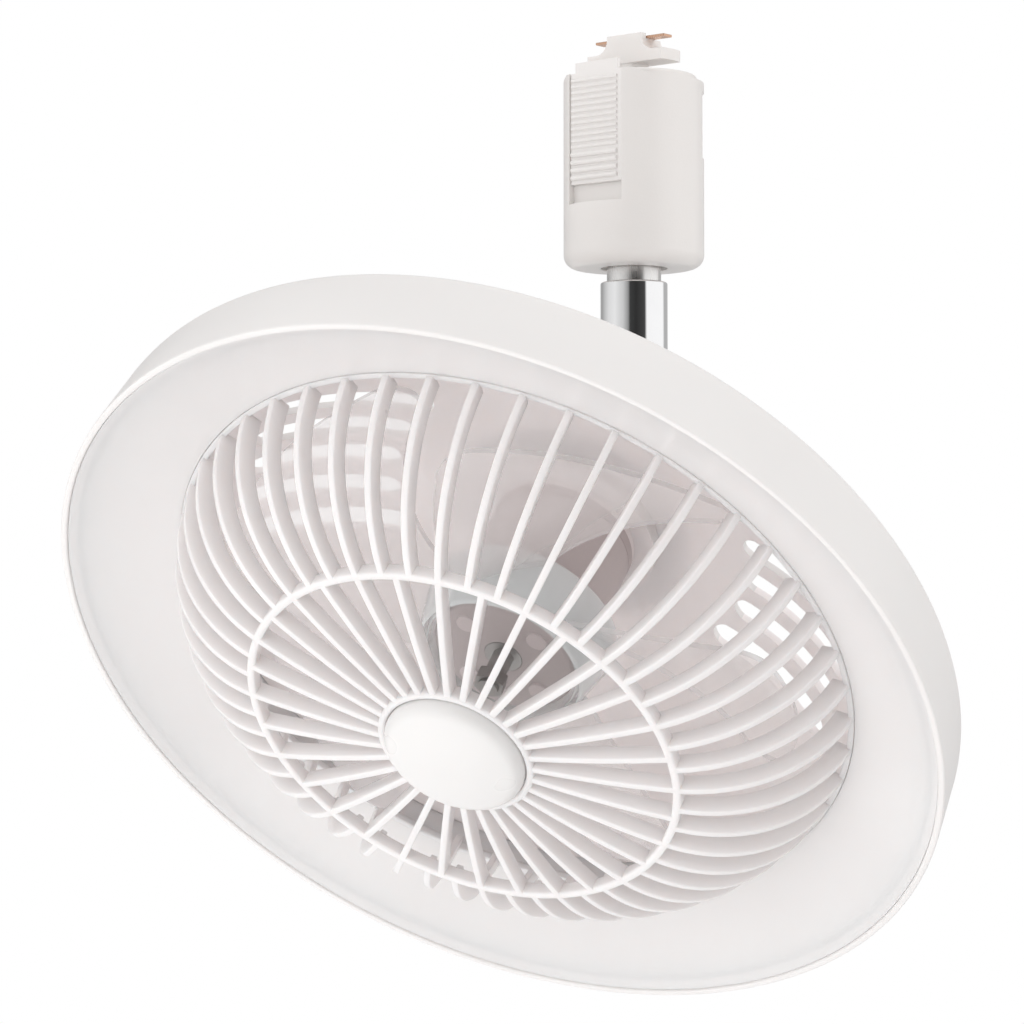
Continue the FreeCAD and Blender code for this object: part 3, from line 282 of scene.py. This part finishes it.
def arc(start, middle, end, steps):
    """Points of the arc through three points, both ends included."""
    x, y = circle(start, middle, end)
    r = math.hypot(start[0] - x, start[1] - y)
    first, half, last = (math.atan2(p[1] - y, p[0] - x) for p in (start, middle, end))
    full = 2 * math.pi
    sweep = (last - first) % full
    if (half - first) % full > sweep:
        sweep -= full
    angles = [first + sweep * k / steps for k in range(steps + 1)]
    return [(x + r * math.cos(a), y + r * math.sin(a)) for a in angles]


def bulged(start, end, bulge):
    """Middle of an arc that leaves the straight line by bulge, to the right of its direction."""
    dx, dy = end[0] - start[0], end[1] - start[1]
    length = math.hypot(dx, dy)
    return ((start[0] + end[0]) / 2 + bulge * dy / length, (start[1] + end[1]) / 2 - bulge * dx / length)


def cap_arc(centre, radius, start, end, steps):
    """Points of an arc round a centre, by angles from the axis."""
    angles = [start + (end - start) * k / steps for k in range(steps + 1)]
    return [(centre[0] + radius * math.sin(a), centre[1] + radius * math.cos(a)) for a in angles]


def lathe(bm, outline, count=240):
    """Closed ring from an outline of (radius, height) in millimetres. A zero radius closes on the axis."""
    angles = [2 * math.pi * k / count for k in range(count)]
    rings = []
    for r, z in outline:
        if r < TINY:
            rings.append([bm.verts.new((0, 0, z * MM))])
            continue
        rings.append([bm.verts.new((r * MM * math.cos(a), r * MM * math.sin(a), z * MM)) for a in angles])
    total = len(rings)
    for i in range(total):
        low, high = rings[i], rings[(i + 1) % total]
        if len(low) == 1 and len(high) == 1:
            continue
        for k in range(count):
            n = (k + 1) % count
            corners = [low[k % len(low)], low[n % len(low)], high[n % len(high)], high[k % len(high)]]
            unique = [v for j, v in enumerate(corners) if v not in corners[:j]]
            bm.faces.new(unique)


def united(shapes):
    """One closed mesh from several that overlap."""
    parts = []
    for shape in shapes:
        mesh = bpy.data.meshes.new("part")
        finish_faces(shape).to_mesh(mesh)
        shape.free()
        parts.append(bpy.data.objects.new("part", mesh))
        bpy.context.scene.collection.objects.link(parts[-1])
    for other in parts[1:]:
        join = parts[0].modifiers.new("join", "BOOLEAN")
        join.operation = "UNION"
        join.solver = "MANIFOLD"
        join.object = other
    whole = parts[0].evaluated_get(bpy.context.evaluated_depsgraph_get())
    bm = bmesh.new()
    bm.from_mesh(whole.to_mesh())
    for part in parts:
        bpy.data.objects.remove(part)
    bmesh.ops.remove_doubles(bm, verts=bm.verts[:], dist=TINY)
    return bm


def softened(node, width, more=()):
    """A node's own shape with its sharp edges rounded by a small width."""
    bm = bmesh.new()
    bm.from_mesh(nodes[node].data)
    bmesh.ops.remove_doubles(bm, verts=bm.verts[:], dist=TINY)
    bmesh.ops.dissolve_limit(bm, angle_limit=FLAT, verts=bm.verts[:], edges=bm.edges[:])
    obj = stand_for(node, finish_faces(bm), more=more)
    bevel = obj.modifiers.new("edges", "BEVEL")
    bevel.width = width * MM
    bevel.segments = BEVEL_STEPS
    bevel.limit_method = "ANGLE"
    bevel.angle_limit = BEVEL_ANGLE
    bevel.harden_normals = True
    bevel.use_clamp_overlap = True
    return obj


# Light ring: a shell with a lip round the diffuser and a ledge under the diffuser's edge

RING_R, LIP_LOW, SEAT_R, SEAT_Z, LEDGE = 129.95, -1.2, 128.0, -4.0, 1.5
RING_BACK_R, RING_BACK, RING_WALL, BACK_ROUND = 128.4, -25.0, 2.0, 5.0
THROAT_R, THROAT_Z = 102.4, -18.0
RING_FLOOR = RING_BACK + RING_WALL

bm = bmesh.new()
lathe(bm, eased([
    (RING_R, LIP_LOW), (RING_R, 0.0, 0.9), (SEAT_R, 0.0, 0.7), (SEAT_R, SEAT_Z),
    (SEAT_R - LEDGE, SEAT_Z, 0.2), (SEAT_R - LEDGE, SEAT_Z - LEDGE, 0.2), (SEAT_R, SEAT_Z - 2 * LEDGE),
    (RING_BACK_R - RING_WALL, RING_BACK + BACK_ROUND), (RING_BACK_R - BACK_ROUND, RING_FLOOR, 2.5),
    (THROAT_R + RING_WALL, RING_FLOOR, 0.5), (THROAT_R + RING_WALL, THROAT_Z, 0.3),
    (THROAT_R, THROAT_Z, 0.3), (THROAT_R, RING_BACK, 0.5), (RING_BACK_R, RING_BACK, BACK_ROUND)], steps=6))
stand_for("ring_housing", finish_faces(bm), HEAD)


# Diffuser: a dished ring from the lip down to the rim of the grille

FACE_OUT, FACE_IN = (127.95, -0.6), (100.3, -16.0)
BACK_OUT, BACK_IN = (125.85, -2.8), (THROAT_R + RING_WALL, THROAT_Z)
FOOT_OUT, FOOT_IN = (FACE_OUT[0], SEAT_Z), (FACE_IN[0], THROAT_Z)
DISH, OUTER_ROUND, INNER_ROUND = 1.5, 0.15, 0.2

bm = bmesh.new()
face = arc(FACE_OUT, bulged(FACE_IN, FACE_OUT, DISH), FACE_IN, steps=24)
back = arc(BACK_IN, bulged(BACK_IN, BACK_OUT, DISH), BACK_OUT, steps=16)
edge = eased([FOOT_OUT, FACE_OUT, face[1]], steps=3, radius=OUTER_ROUND, closed=False)[1:-1]
inner = eased([face[-2], FACE_IN, FOOT_IN], steps=4, radius=INNER_ROUND, closed=False)[1:-1]
lathe(bm, edge + face[1:-1] + inner + [FOOT_IN] + back + [(BACK_OUT[0], SEAT_Z), FOOT_OUT], count=288)
stand_for("diffuser", finish_faces(bm), HEAD)


# Grille: thin ribs on edge with rounded fronts, between a rim, a middle ring and a hub

RIM, MID, HUB = (100.05, -16.4), (62.1, 22.0), (21.65, 25.9)
DOME_BULGE, LID_BULGE = 8.6, 0.6
DOME_RIBS, LID_RIBS, FIRST_RIB = 48, 32, 5.625
RIB_WIDTH, DOME_RIB_DEPTH, LID_RIB_DEPTH, RIB_ROUND = 2.0, 5.4, 5.0, 0.4
RIM_OUT, RIM_IN, RIM_TOP, RIM_LOW = 100.2, 98.4, -15.5, -17.4
SKIRT_OUT, SKIRT_IN, SKIRT_TOP, SKIRT_INNER_TOP = 101.6, 99.2, -18.2, -18.6
MID_HALF, MID_DEPTH, MID_ROUND = 1.2, 4.4, 0.8
COLLAR_HALF, COLLAR_Z, CAP_SEAT, HUB_BACK, HUB_ROUND = 1.1, 25.1, 24.6, 20.9, 1.2


def rib(bm, fronts, backs, turn):
    """One rib swept along its front and back lines, in the plane at an angle round the axis."""
    half = RIB_WIDTH / 2
    cos_t, sin_t = math.cos(turn), math.sin(turn)
    rings = []
    for front, back in zip(map(Vector, fronts), map(Vector, backs)):
        down = back - front
        deep = down.length
        down.normalize()
        ring = []
        section = [(0, -half), (0, half), (deep, half), (deep, -half)]
        for s, y in eased(section, steps=3, radius=RIB_ROUND):
            x, z = front + down * s
            turned = x * cos_t - y * sin_t, x * sin_t + y * cos_t, z
            ring.append(bm.verts.new([c * MM for c in turned]))
        rings.append(ring)
    n = len(rings[0])
    for a, b in zip(rings, rings[1:]):
        for k in range(n):
            bm.faces.new((a[k], a[(k + 1) % n], b[(k + 1) % n], b[k]))
    bm.faces.new(rings[0][::-1])
    bm.faces.new(rings[-1])


def rib_row(fronts, backs, count):
    """Ribs evenly spaced round the axis."""
    bm = bmesh.new()
    for k in range(count):
        rib(bm, fronts, backs, math.radians(FIRST_RIB + 360 / count * k))
    return bm


crown = bulged(RIM, MID, DOME_BULGE)
dome = arc(RIM, crown, MID, steps=24)
centre = Vector(circle(RIM, crown, MID))
inside = [centre + (p - centre) * (1 - DOME_RIB_DEPTH / (p - centre).length) for p in map(Vector, dome)]
lid = arc(MID, bulged(MID, HUB, LID_BULGE), HUB, steps=10)
below = [(r, z - LID_RIB_DEPTH) for r, z in lid]

rings = bmesh.new()
lathe(rings, eased([
    (SKIRT_OUT, RING_BACK, 0.3), (SKIRT_OUT, SKIRT_TOP, 0.2), (RIM_OUT, SKIRT_TOP), (RIM_OUT, RIM_TOP, 0.4),
    (RIM_IN, RIM_TOP, 0.6), (RIM_IN, RIM_LOW, 0.6), (SKIRT_IN, SKIRT_INNER_TOP),
    (SKIRT_IN, RING_BACK, 0.3)], steps=6))
lathe(rings, eased([
    (MID[0] + MID_HALF, MID[1]), (MID[0] - MID_HALF, MID[1]), (MID[0] - MID_HALF, MID[1] - MID_DEPTH),
    (MID[0] + MID_HALF, MID[1] - MID_DEPTH)], steps=4, radius=MID_ROUND), count=192)
collar_in, collar_out = HUB[0] - COLLAR_HALF, HUB[0] + COLLAR_HALF
collar = arc((collar_in, COLLAR_Z), (HUB[0], COLLAR_Z + COLLAR_HALF), (collar_out, COLLAR_Z), steps=12)
hub_edge = eased([(collar_out, COLLAR_Z), (collar_out, HUB_BACK), (0, HUB_BACK)],
                 steps=5, radius=HUB_ROUND, closed=False)
lathe(rings, [(0, CAP_SEAT), (collar_in, CAP_SEAT)] + collar + hub_edge[1:], count=128)
ribs = rib_row(dome, inside, DOME_RIBS), rib_row(lid, below, LID_RIBS)
stand_for("front_grille", united((rings, *ribs)), HEAD)


# Hub cap: a low dome with a round edge, hollow behind

CAP_R, CAP_LOW, CAP_EDGE, CAP_WALL = 20.4, 25.6, 5.0, 1.6
CAP_SLOPE = math.radians(22)
CAP_SHOULDER = (16.0, 28.0)

bm = bmesh.new()
edge_r = CAP_R - CAP_EDGE
ball = edge_r / math.sin(CAP_SLOPE) + CAP_EDGE
middle = CAP_LOW + (CAP_EDGE - ball) * math.cos(CAP_SLOPE)
outside = cap_arc((edge_r, CAP_LOW), CAP_EDGE, math.pi / 2, CAP_SLOPE, steps=12)
outside += cap_arc((0, middle), ball, CAP_SLOPE, 0, steps=16)[1:]
hollow = [(0, middle + ball - CAP_WALL), CAP_SHOULDER,
          (CAP_R - CAP_WALL, CAP_LOW), (CAP_R - CAP_WALL, CAP_SEAT)]
lathe(bm, [(CAP_R, CAP_SEAT)] + outside + hollow, count=128)
stand_for("hub_cap", finish_faces(bm), HEAD)


# Fan: five clear petals, each a twisted sheet, on a cup whose wall is a denser bluish veil, painted sheen of
# the wall seen at a slant, with a clear front

PETALS, FIRST_PETAL = 5, 49
TIP_R, TIP_ROUND, TIP_CORNER, BLADE_T = 84.2, 10.0, 2.5, 1.8
CUP_FRONT, CUP_BACK, CUP_FRONT_R, CUP_BACK_R, CUP_WALL = -8.0, -27.0, 24.2, 28.7, 1.8
BOSS_R, BOSS_FRONT, AXLE_R, BOSS_REACH = 7.5, -3.8, 3.02, 10.0
PETAL_START_R = 25.8
SHEET_ROOT, SHEET_TIP, SHEET_DEPTH, TIP_LIFT = 12.1, 86.0, 13.0, 5.0
ROOT_SLOPE, ROOT_MIDDLE, TIP_SLOPE, TIP_MIDDLE = 0.77, 10.0, 0.30, 3.0
LONG_STEPS, TIP_STEPS, ACROSS_STEPS = 20, 10, 24
ON_CUP_SHEEN, ON_PAINTED_EDGE, ON_DISC = 1, 2, 3
NEARLY_FLAT = 0.9


def polar(radius, degrees):
    return radius * math.cos(math.radians(degrees)), radius * math.sin(math.radians(degrees))


def side_line(root, middle, shoulder, corner, tip):
    """One side of a petal as (radius, angle), from the cup to the tip circle, by angles in degrees."""
    low, high = CUP_FRONT_R - CUP_WALL, TIP_R - TIP_ROUND
    points = arc(polar(low, root), polar((low + high) / 2, middle), polar(high, shoulder), steps=24)
    points += arc(polar(high, shoulder), polar(TIP_R - TIP_CORNER, corner), polar(TIP_R, tip), steps=12)[1:]
    return [(math.hypot(x, y), math.atan2(y, x)) for x, y in points]


def angle_at(line, radius):
    """Angle of a side line at a radius."""
    for (r0, a0), (r1, a1) in zip(line, line[1:]):
        if r0 <= radius <= r1:
            return a0 + (a1 - a0) * (radius - r0) / (r1 - r0)
    return line[-1][1] if radius > line[0][0] else line[0][1]


def sheet_height(x, y):
    """Height of the twisted sheet: steep at the root, flatter and higher at the tip."""
    t = (x - SHEET_ROOT) / (SHEET_TIP - SHEET_ROOT)
    root, tip = ROOT_SLOPE * (y - ROOT_MIDDLE), TIP_LIFT + TIP_SLOPE * (y - TIP_MIDDLE)
    return CUP_FRONT - SHEET_DEPTH + (1 - t) * root + t * tip


TRAILING = side_line(root=4.0, middle=-9.0, shoulder=-27.0, corner=-25.5, tip=-20.0)
LEADING = side_line(root=52.0, middle=39.0, shoulder=31.0, corner=28.0, tip=22.0)


def petal(bm, turn):
    """One petal, turned round the axis: two sheets a blade's thickness apart, joined round their edge."""
    length = TIP_R - TIP_ROUND - PETAL_START_R
    radii = [PETAL_START_R + length * k / LONG_STEPS for k in range(LONG_STEPS + 1)]
    radii += [TIP_R - TIP_ROUND * (1 - k / TIP_STEPS) ** 2 for k in range(1, TIP_STEPS + 1)]
    borders = []
    for side in (-1, 1):
        rows = []
        for r in radii:
            low, high = angle_at(TRAILING, r), angle_at(LEADING, r)
            row = []
            for k in range(ACROSS_STEPS + 1):
                a = low + (high - low) * k / ACROSS_STEPS
                z = sheet_height(r * math.cos(a), r * math.sin(a)) + side * BLADE_T / 2
                row.append(bm.verts.new((r * MM * math.cos(a + turn), r * MM * math.sin(a + turn), z * MM)))
            rows.append(row)
        for a, b in zip(rows, rows[1:]):
            for k in range(ACROSS_STEPS):
                bm.faces.new((a[k], a[k + 1], b[k + 1], b[k]))
        borders.append([row[0] for row in rows] + rows[-1][1:-1]
                       + [row[-1] for row in reversed(rows)] + rows[0][-2:0:-1])
    under, over = borders
    for k in range(len(under)):
        n = (k + 1) % len(under)
        # The faces round the edge take the painted edge lines
        bm.faces.new((under[k], under[n], over[n], over[k])).material_index = ON_PAINTED_EDGE


bm = bmesh.new()
for k in range(PETALS):
    petal(bm, math.radians(FIRST_PETAL + 360 / PETALS * k))
petal_faces = len(bm.faces)
lathe(bm, eased([
    (CUP_BACK_R, CUP_BACK, 0.6), (CUP_FRONT_R, CUP_FRONT, 1.6), (BOSS_R, CUP_FRONT, 0.8),
    (BOSS_R, BOSS_FRONT, 0.7), (AXLE_R, BOSS_FRONT), (AXLE_R, CUP_FRONT - CUP_WALL),
    (CUP_FRONT_R - CUP_WALL, CUP_FRONT - CUP_WALL, 1.0), (CUP_BACK_R - CUP_WALL, CUP_BACK, 0.6)],
    steps=6), count=160)
finish_faces(bm)
bm.faces.ensure_lookup_table()
for face in bm.faces[petal_faces:]:
    # Wall faces away from the boss take the painted sheen; the rest stay clear
    wall = abs(face.normal.z) < NEARLY_FLAT and face.calc_center_median().xy.length > BOSS_REACH * MM
    face.material_index = ON_CUP_SHEEN if wall else ON_DISC
stand_for("impeller", bm, HEAD, (CUP_PAINTED_SHEEN, EDGE_LINE_PAINTED, DISC))


# Pieces that keep their own shape, with the width of the round on their edges

for node, width in (("adapter_body", 0.5), ("adapter_top_cover", 0.3), ("contact_key", 0.35),
                    ("contact_blades", 0.15), ("tilt_bracket", 0.4), ("driver_housing", 0.4),
                    ("stem_eye", 0.4)):
    softened(node, width)


# Rear cover: shell white outside; inside, a brighter and pinker white, painted light standing in for light
# bounced round the bowl

OUTSIDE = 1
BOWL_MIDDLE = -20.0

cover = softened("rear_cover", width=0.4, more=(SHELL,))
middle = HEAD @ Vector((0, 0, BOWL_MIDDLE * MM))
# Faces that look away from the bowl's middle take the shell white; the rest keep the painted bounce light of
# the inside
for face in cover.data.polygons:
    if face.normal.dot(face.center - middle) > 0:
        face.material_index = OUTSIDE


# Stem tube: a smooth turned piece, closed round the neck at its top

TUBE_R, TUBE_BORE_R, NECK_R = 10.0, 9.0, 8.12
TUBE_TOP, TUBE_LOW, TUBE_LID = -61.8, -83.7, 3.0

bm = bmesh.new()
lathe(bm, eased([
    (TUBE_R, TUBE_LOW, 0.3), (TUBE_R, TUBE_TOP, 0.6), (NECK_R, TUBE_TOP, 0.2), (NECK_R, TUBE_TOP - TUBE_LID),
    (TUBE_BORE_R, TUBE_TOP - TUBE_LID), (TUBE_BORE_R, TUBE_LOW, 0.2)], steps=5), count=128)
stand_for("stem_tube", finish_faces(bm))


# Lock slide: plate, tab and lug, with fine ridges above four bolder ones

SLIDE_FACE, PLATE_BACK = -18.0, -16.45
PLATE = (-9.65, SLIDE_FACE, -33.6), (9.65, PLATE_BACK, -0.4)
TAB = (-8.0, SLIDE_FACE, -2.2), (8.0, PLATE_BACK, 2.7)
LUG = (-4.0, -16.6, -24.0), (4.0, -9.5, -18.0)
BLOCK_ROUND = 0.2
RIDGE_ENDS, RIDGE_SUNK, RIDGE_STEPS = (-9.1, 7.9), 0.3, 8


def block(low, high):
    """Box between two corners in millimetres, with its edges rounded."""
    low, high = Vector(low) * MM, Vector(high) * MM
    bm = bmesh.new()
    place = Matrix.Translation((low + high) / 2) @ Matrix.Diagonal(high - low).to_4x4()
    bmesh.ops.create_cube(bm, size=1.0, matrix=place)
    bmesh.ops.bevel(bm, geom=bm.edges[:], offset=BLOCK_ROUND * MM, segments=BEVEL_STEPS, profile=0.5,
                    affect="EDGES")
    return bm


def ridge_row(bm, top, pitch, count, half, proud):
    """Half-round ridges across the slide's face, one under the other, sunk a little into the plate."""
    for row in range(count):
        height = top - pitch * row
        outline = [(SLIDE_FACE + RIDGE_SUNK, height - half), (SLIDE_FACE + RIDGE_SUNK, height + half)]
        for k in range(RIDGE_STEPS + 1):
            a = math.pi * k / RIDGE_STEPS
            outline.append((SLIDE_FACE - proud * math.sin(a), height + half * math.cos(a)))
        ends = [[bm.verts.new((x * MM, y * MM, z * MM)) for y, z in outline] for x in RIDGE_ENDS]
        for end in ends:
            bm.faces.new(end)
        for k in range(len(outline)):
            n = (k + 1) % len(outline)
            bm.faces.new((ends[0][k], ends[0][n], ends[1][n], ends[1][k]))


ridges = bmesh.new()
ridge_row(ridges, top=-2.6, pitch=1.8, count=12, half=0.58, proud=0.7)
ridge_row(ridges, top=-24.75, pitch=2.3, count=4, half=0.8, proud=0.95)
stand_for("lock_slider", united((block(*PLATE), block(*TAB), block(*LUG), ridges)))


# Spring: its own shape, in a mesh of its own that rides on its body

bm = bmesh.new()
bm.from_mesh(nodes["lock_spring"].data)
spring = stand_for("lock_spring", bm)
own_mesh(spring)


# Motor: painted front, a side darkened as painted shade for the shadow beside the fan's cup, and lighter
# studs that stand on the front

MOTOR_FRONT, STUD_START, PAINTED_SHADE_START_R = -11.4, 0.1, 20.0
STEEP = 0.5
ON_PAINTED_SHADE, ON_STUD = 1, 2

motor = softened("motor_housing", width=0.3, more=(CASE_PAINTED_SHADE, STUD))
to_head = HEAD.inverted()
for face in motor.data.polygons:
    place = to_head @ face.center
    side = abs((to_head.to_3x3() @ face.normal).z) < STEEP
    if place.z > (MOTOR_FRONT + STUD_START) * MM:
        face.material_index = ON_STUD
    # Side faces past this radius take the painted shade
    elif side and place.xy.length > PAINTED_SHADE_START_R * MM:
        face.material_index = ON_PAINTED_SHADE


# Studio: white surround, soft lamps, camera at the photograph's place

CAMERA_PLACE, CAMERA_HEADING, CAMERA_RISE = (0.6572, -0.8457, -0.1821), 39.8, 2.77
LENS, SENSOR = 126.56, 36
AIM = (0.01, -0.07, -0.17)
SKY_COLOUR, SKY_STRENGTH = (1.0, 0.985, 0.98, 1), 0.8
FLOOR_Z, FLOOR_HALF = -2.6, 7.0
# What a mirror sees, in degrees from the camera's heading: a dark camera side between two bright panels
ROOM = ((-180, 0.5), (-145, 0.35), (-100, 0.75), (-72, 0.85), (-40, 0.62), (-22, 0.3), (-16, 0.05), (5, 0.03),
        (36, 0.06), (43, 1.0), (116, 1.0), (126, 0.45), (180, 0.5))


def lamp(name, place, size, power):
    data = bpy.data.lights.new(name, "AREA")
    data.shape = "RECTANGLE"
    data.size, data.size_y = size
    data.energy = power
    obj = bpy.data.objects.new(name, data)
    obj.location = place
    obj.rotation_euler = (Vector(AIM) - Vector(place)).to_track_quat("-Z", "Y").to_euler()
    obj.visible_glossy = False
    bpy.context.scene.collection.objects.link(obj)


def math_node(tree, operation, *values):
    """A math node's result, from numbers or other nodes' results."""
    node = tree.nodes.new("ShaderNodeMath")
    node.operation = operation
    for socket, value in zip(node.inputs, values):
        if isinstance(value, (int, float)):
            socket.default_value = value
        else:
            tree.links.new(value, socket)
    return node.outputs[0]


def mixed(tree, factor, first, second):
    node = tree.nodes.new("ShaderNodeMixShader")
    for socket, value in zip(node.inputs, (factor, first, second)):
        tree.links.new(value, socket)
    return node.outputs[0]


def white_to_camera(tree, shader, mirrors):
    """Plain white for rays from the camera or through a clear piece, and from mirrors if asked."""
    path = tree.nodes.new("ShaderNodeLightPath")
    white = tree.nodes.new("ShaderNodeEmission").outputs[0]
    seen = math_node(tree, "MAXIMUM", path.outputs["Is Camera Ray"], path.outputs["Is Transmission Ray"])
    if mirrors:
        seen = math_node(tree, "MAXIMUM", seen, path.outputs["Is Glossy Ray"])
    return mixed(tree, seen, shader, white)


def mirrored_room(tree):
    """Light of the room by heading, with the camera's heading in the middle of the ramp."""
    coords = tree.nodes.new("ShaderNodeTexCoord")
    split = tree.nodes.new("ShaderNodeSeparateXYZ")
    tree.links.new(coords.outputs["Generated"], split.inputs[0])
    back = math_node(tree, "MULTIPLY", split.outputs["Y"], -1.0)
    heading = math_node(tree, "ARCTAN2", split.outputs["X"], back)
    turns = math_node(tree, "MULTIPLY", heading, 0.5 / math.pi)
    place = math_node(tree, "FRACT", math_node(tree, "ADD", turns, 1.5 - CAMERA_HEADING / 360))
    ramp = tree.nodes.new("ShaderNodeValToRGB")
    stops = ramp.color_ramp.elements
    stops[0].position, stops[1].position = 0.0, 1.0
    for degrees, light in ROOM[1:-1]:
        stops.new((degrees + 180) / 360)
    for stop, (degrees, light) in zip(stops, ROOM):
        stop.color = (light, light, light, 1)
    tree.links.new(place, ramp.inputs["Fac"])
    glow = tree.nodes.new("ShaderNodeBackground")
    tree.links.new(ramp.outputs["Color"], glow.inputs["Color"])
    return glow.outputs[0]


scene = bpy.context.scene
scene.view_settings.view_transform = "Standard"
world = bpy.data.worlds.new("studio")
scene.world = world
world.use_nodes = True
tree = world.node_tree
sky = tree.nodes["Background"]
sky.inputs["Color"].default_value = SKY_COLOUR
sky.inputs["Strength"].default_value = SKY_STRENGTH
mirror = tree.nodes.new("ShaderNodeLightPath").outputs["Is Glossy Ray"]
room = mixed(tree, mirror, sky.outputs[0], mirrored_room(tree))
tree.links.new(white_to_camera(tree, room, mirrors=False), tree.nodes["World Output"].inputs["Surface"])

floor_mesh = bpy.data.meshes.new("floor")
bm = bmesh.new()
bmesh.ops.create_grid(bm, x_segments=1, y_segments=1, size=FLOOR_HALF)
bm.to_mesh(floor_mesh)
bm.free()
floor = bpy.data.objects.new("floor", floor_mesh)
floor.location.z = FLOOR_Z
scene.collection.objects.link(floor)
paint, tree, bsdf = new_material("floor_white")
vary_colour(tree, bsdf, low=(0.86, 0.85, 0.85), high=(0.88, 0.87, 0.87), scale=3)
vary_roughness(tree, bsdf, low=0.6, high=0.7, scale=8)
surface = white_to_camera(tree, bsdf.outputs[0], mirrors=True)
tree.links.new(surface, tree.nodes["Material Output"].inputs["Surface"])
floor_mesh.materials.append(paint)

lamp("key", place=(-0.5, -0.7, 1.15), size=(1.2, 1.2), power=3.4)
lamp("front", place=(0.15, -1.25, -0.05), size=(0.9, 0.9), power=2.7)
lamp("right", place=(1.25, 0.6, 0.25), size=(0.8, 1.2), power=4.4)
lamp("low", place=(-0.15, -0.75, -0.85), size=(0.9, 0.9), power=4.4)
lamp("back", place=(-0.08, 0.68, 0.56), size=(1.0, 1.0), power=3.6)

eye = bpy.data.cameras.new("camera")
eye.lens = LENS
eye.sensor_width = SENSOR
camera = bpy.data.objects.new("camera", eye)
camera.location = CAMERA_PLACE
camera.rotation_euler = (math.radians(90 + CAMERA_RISE), 0, math.radians(CAMERA_HEADING))
scene.collection.objects.link(camera)
scene.camera = camera
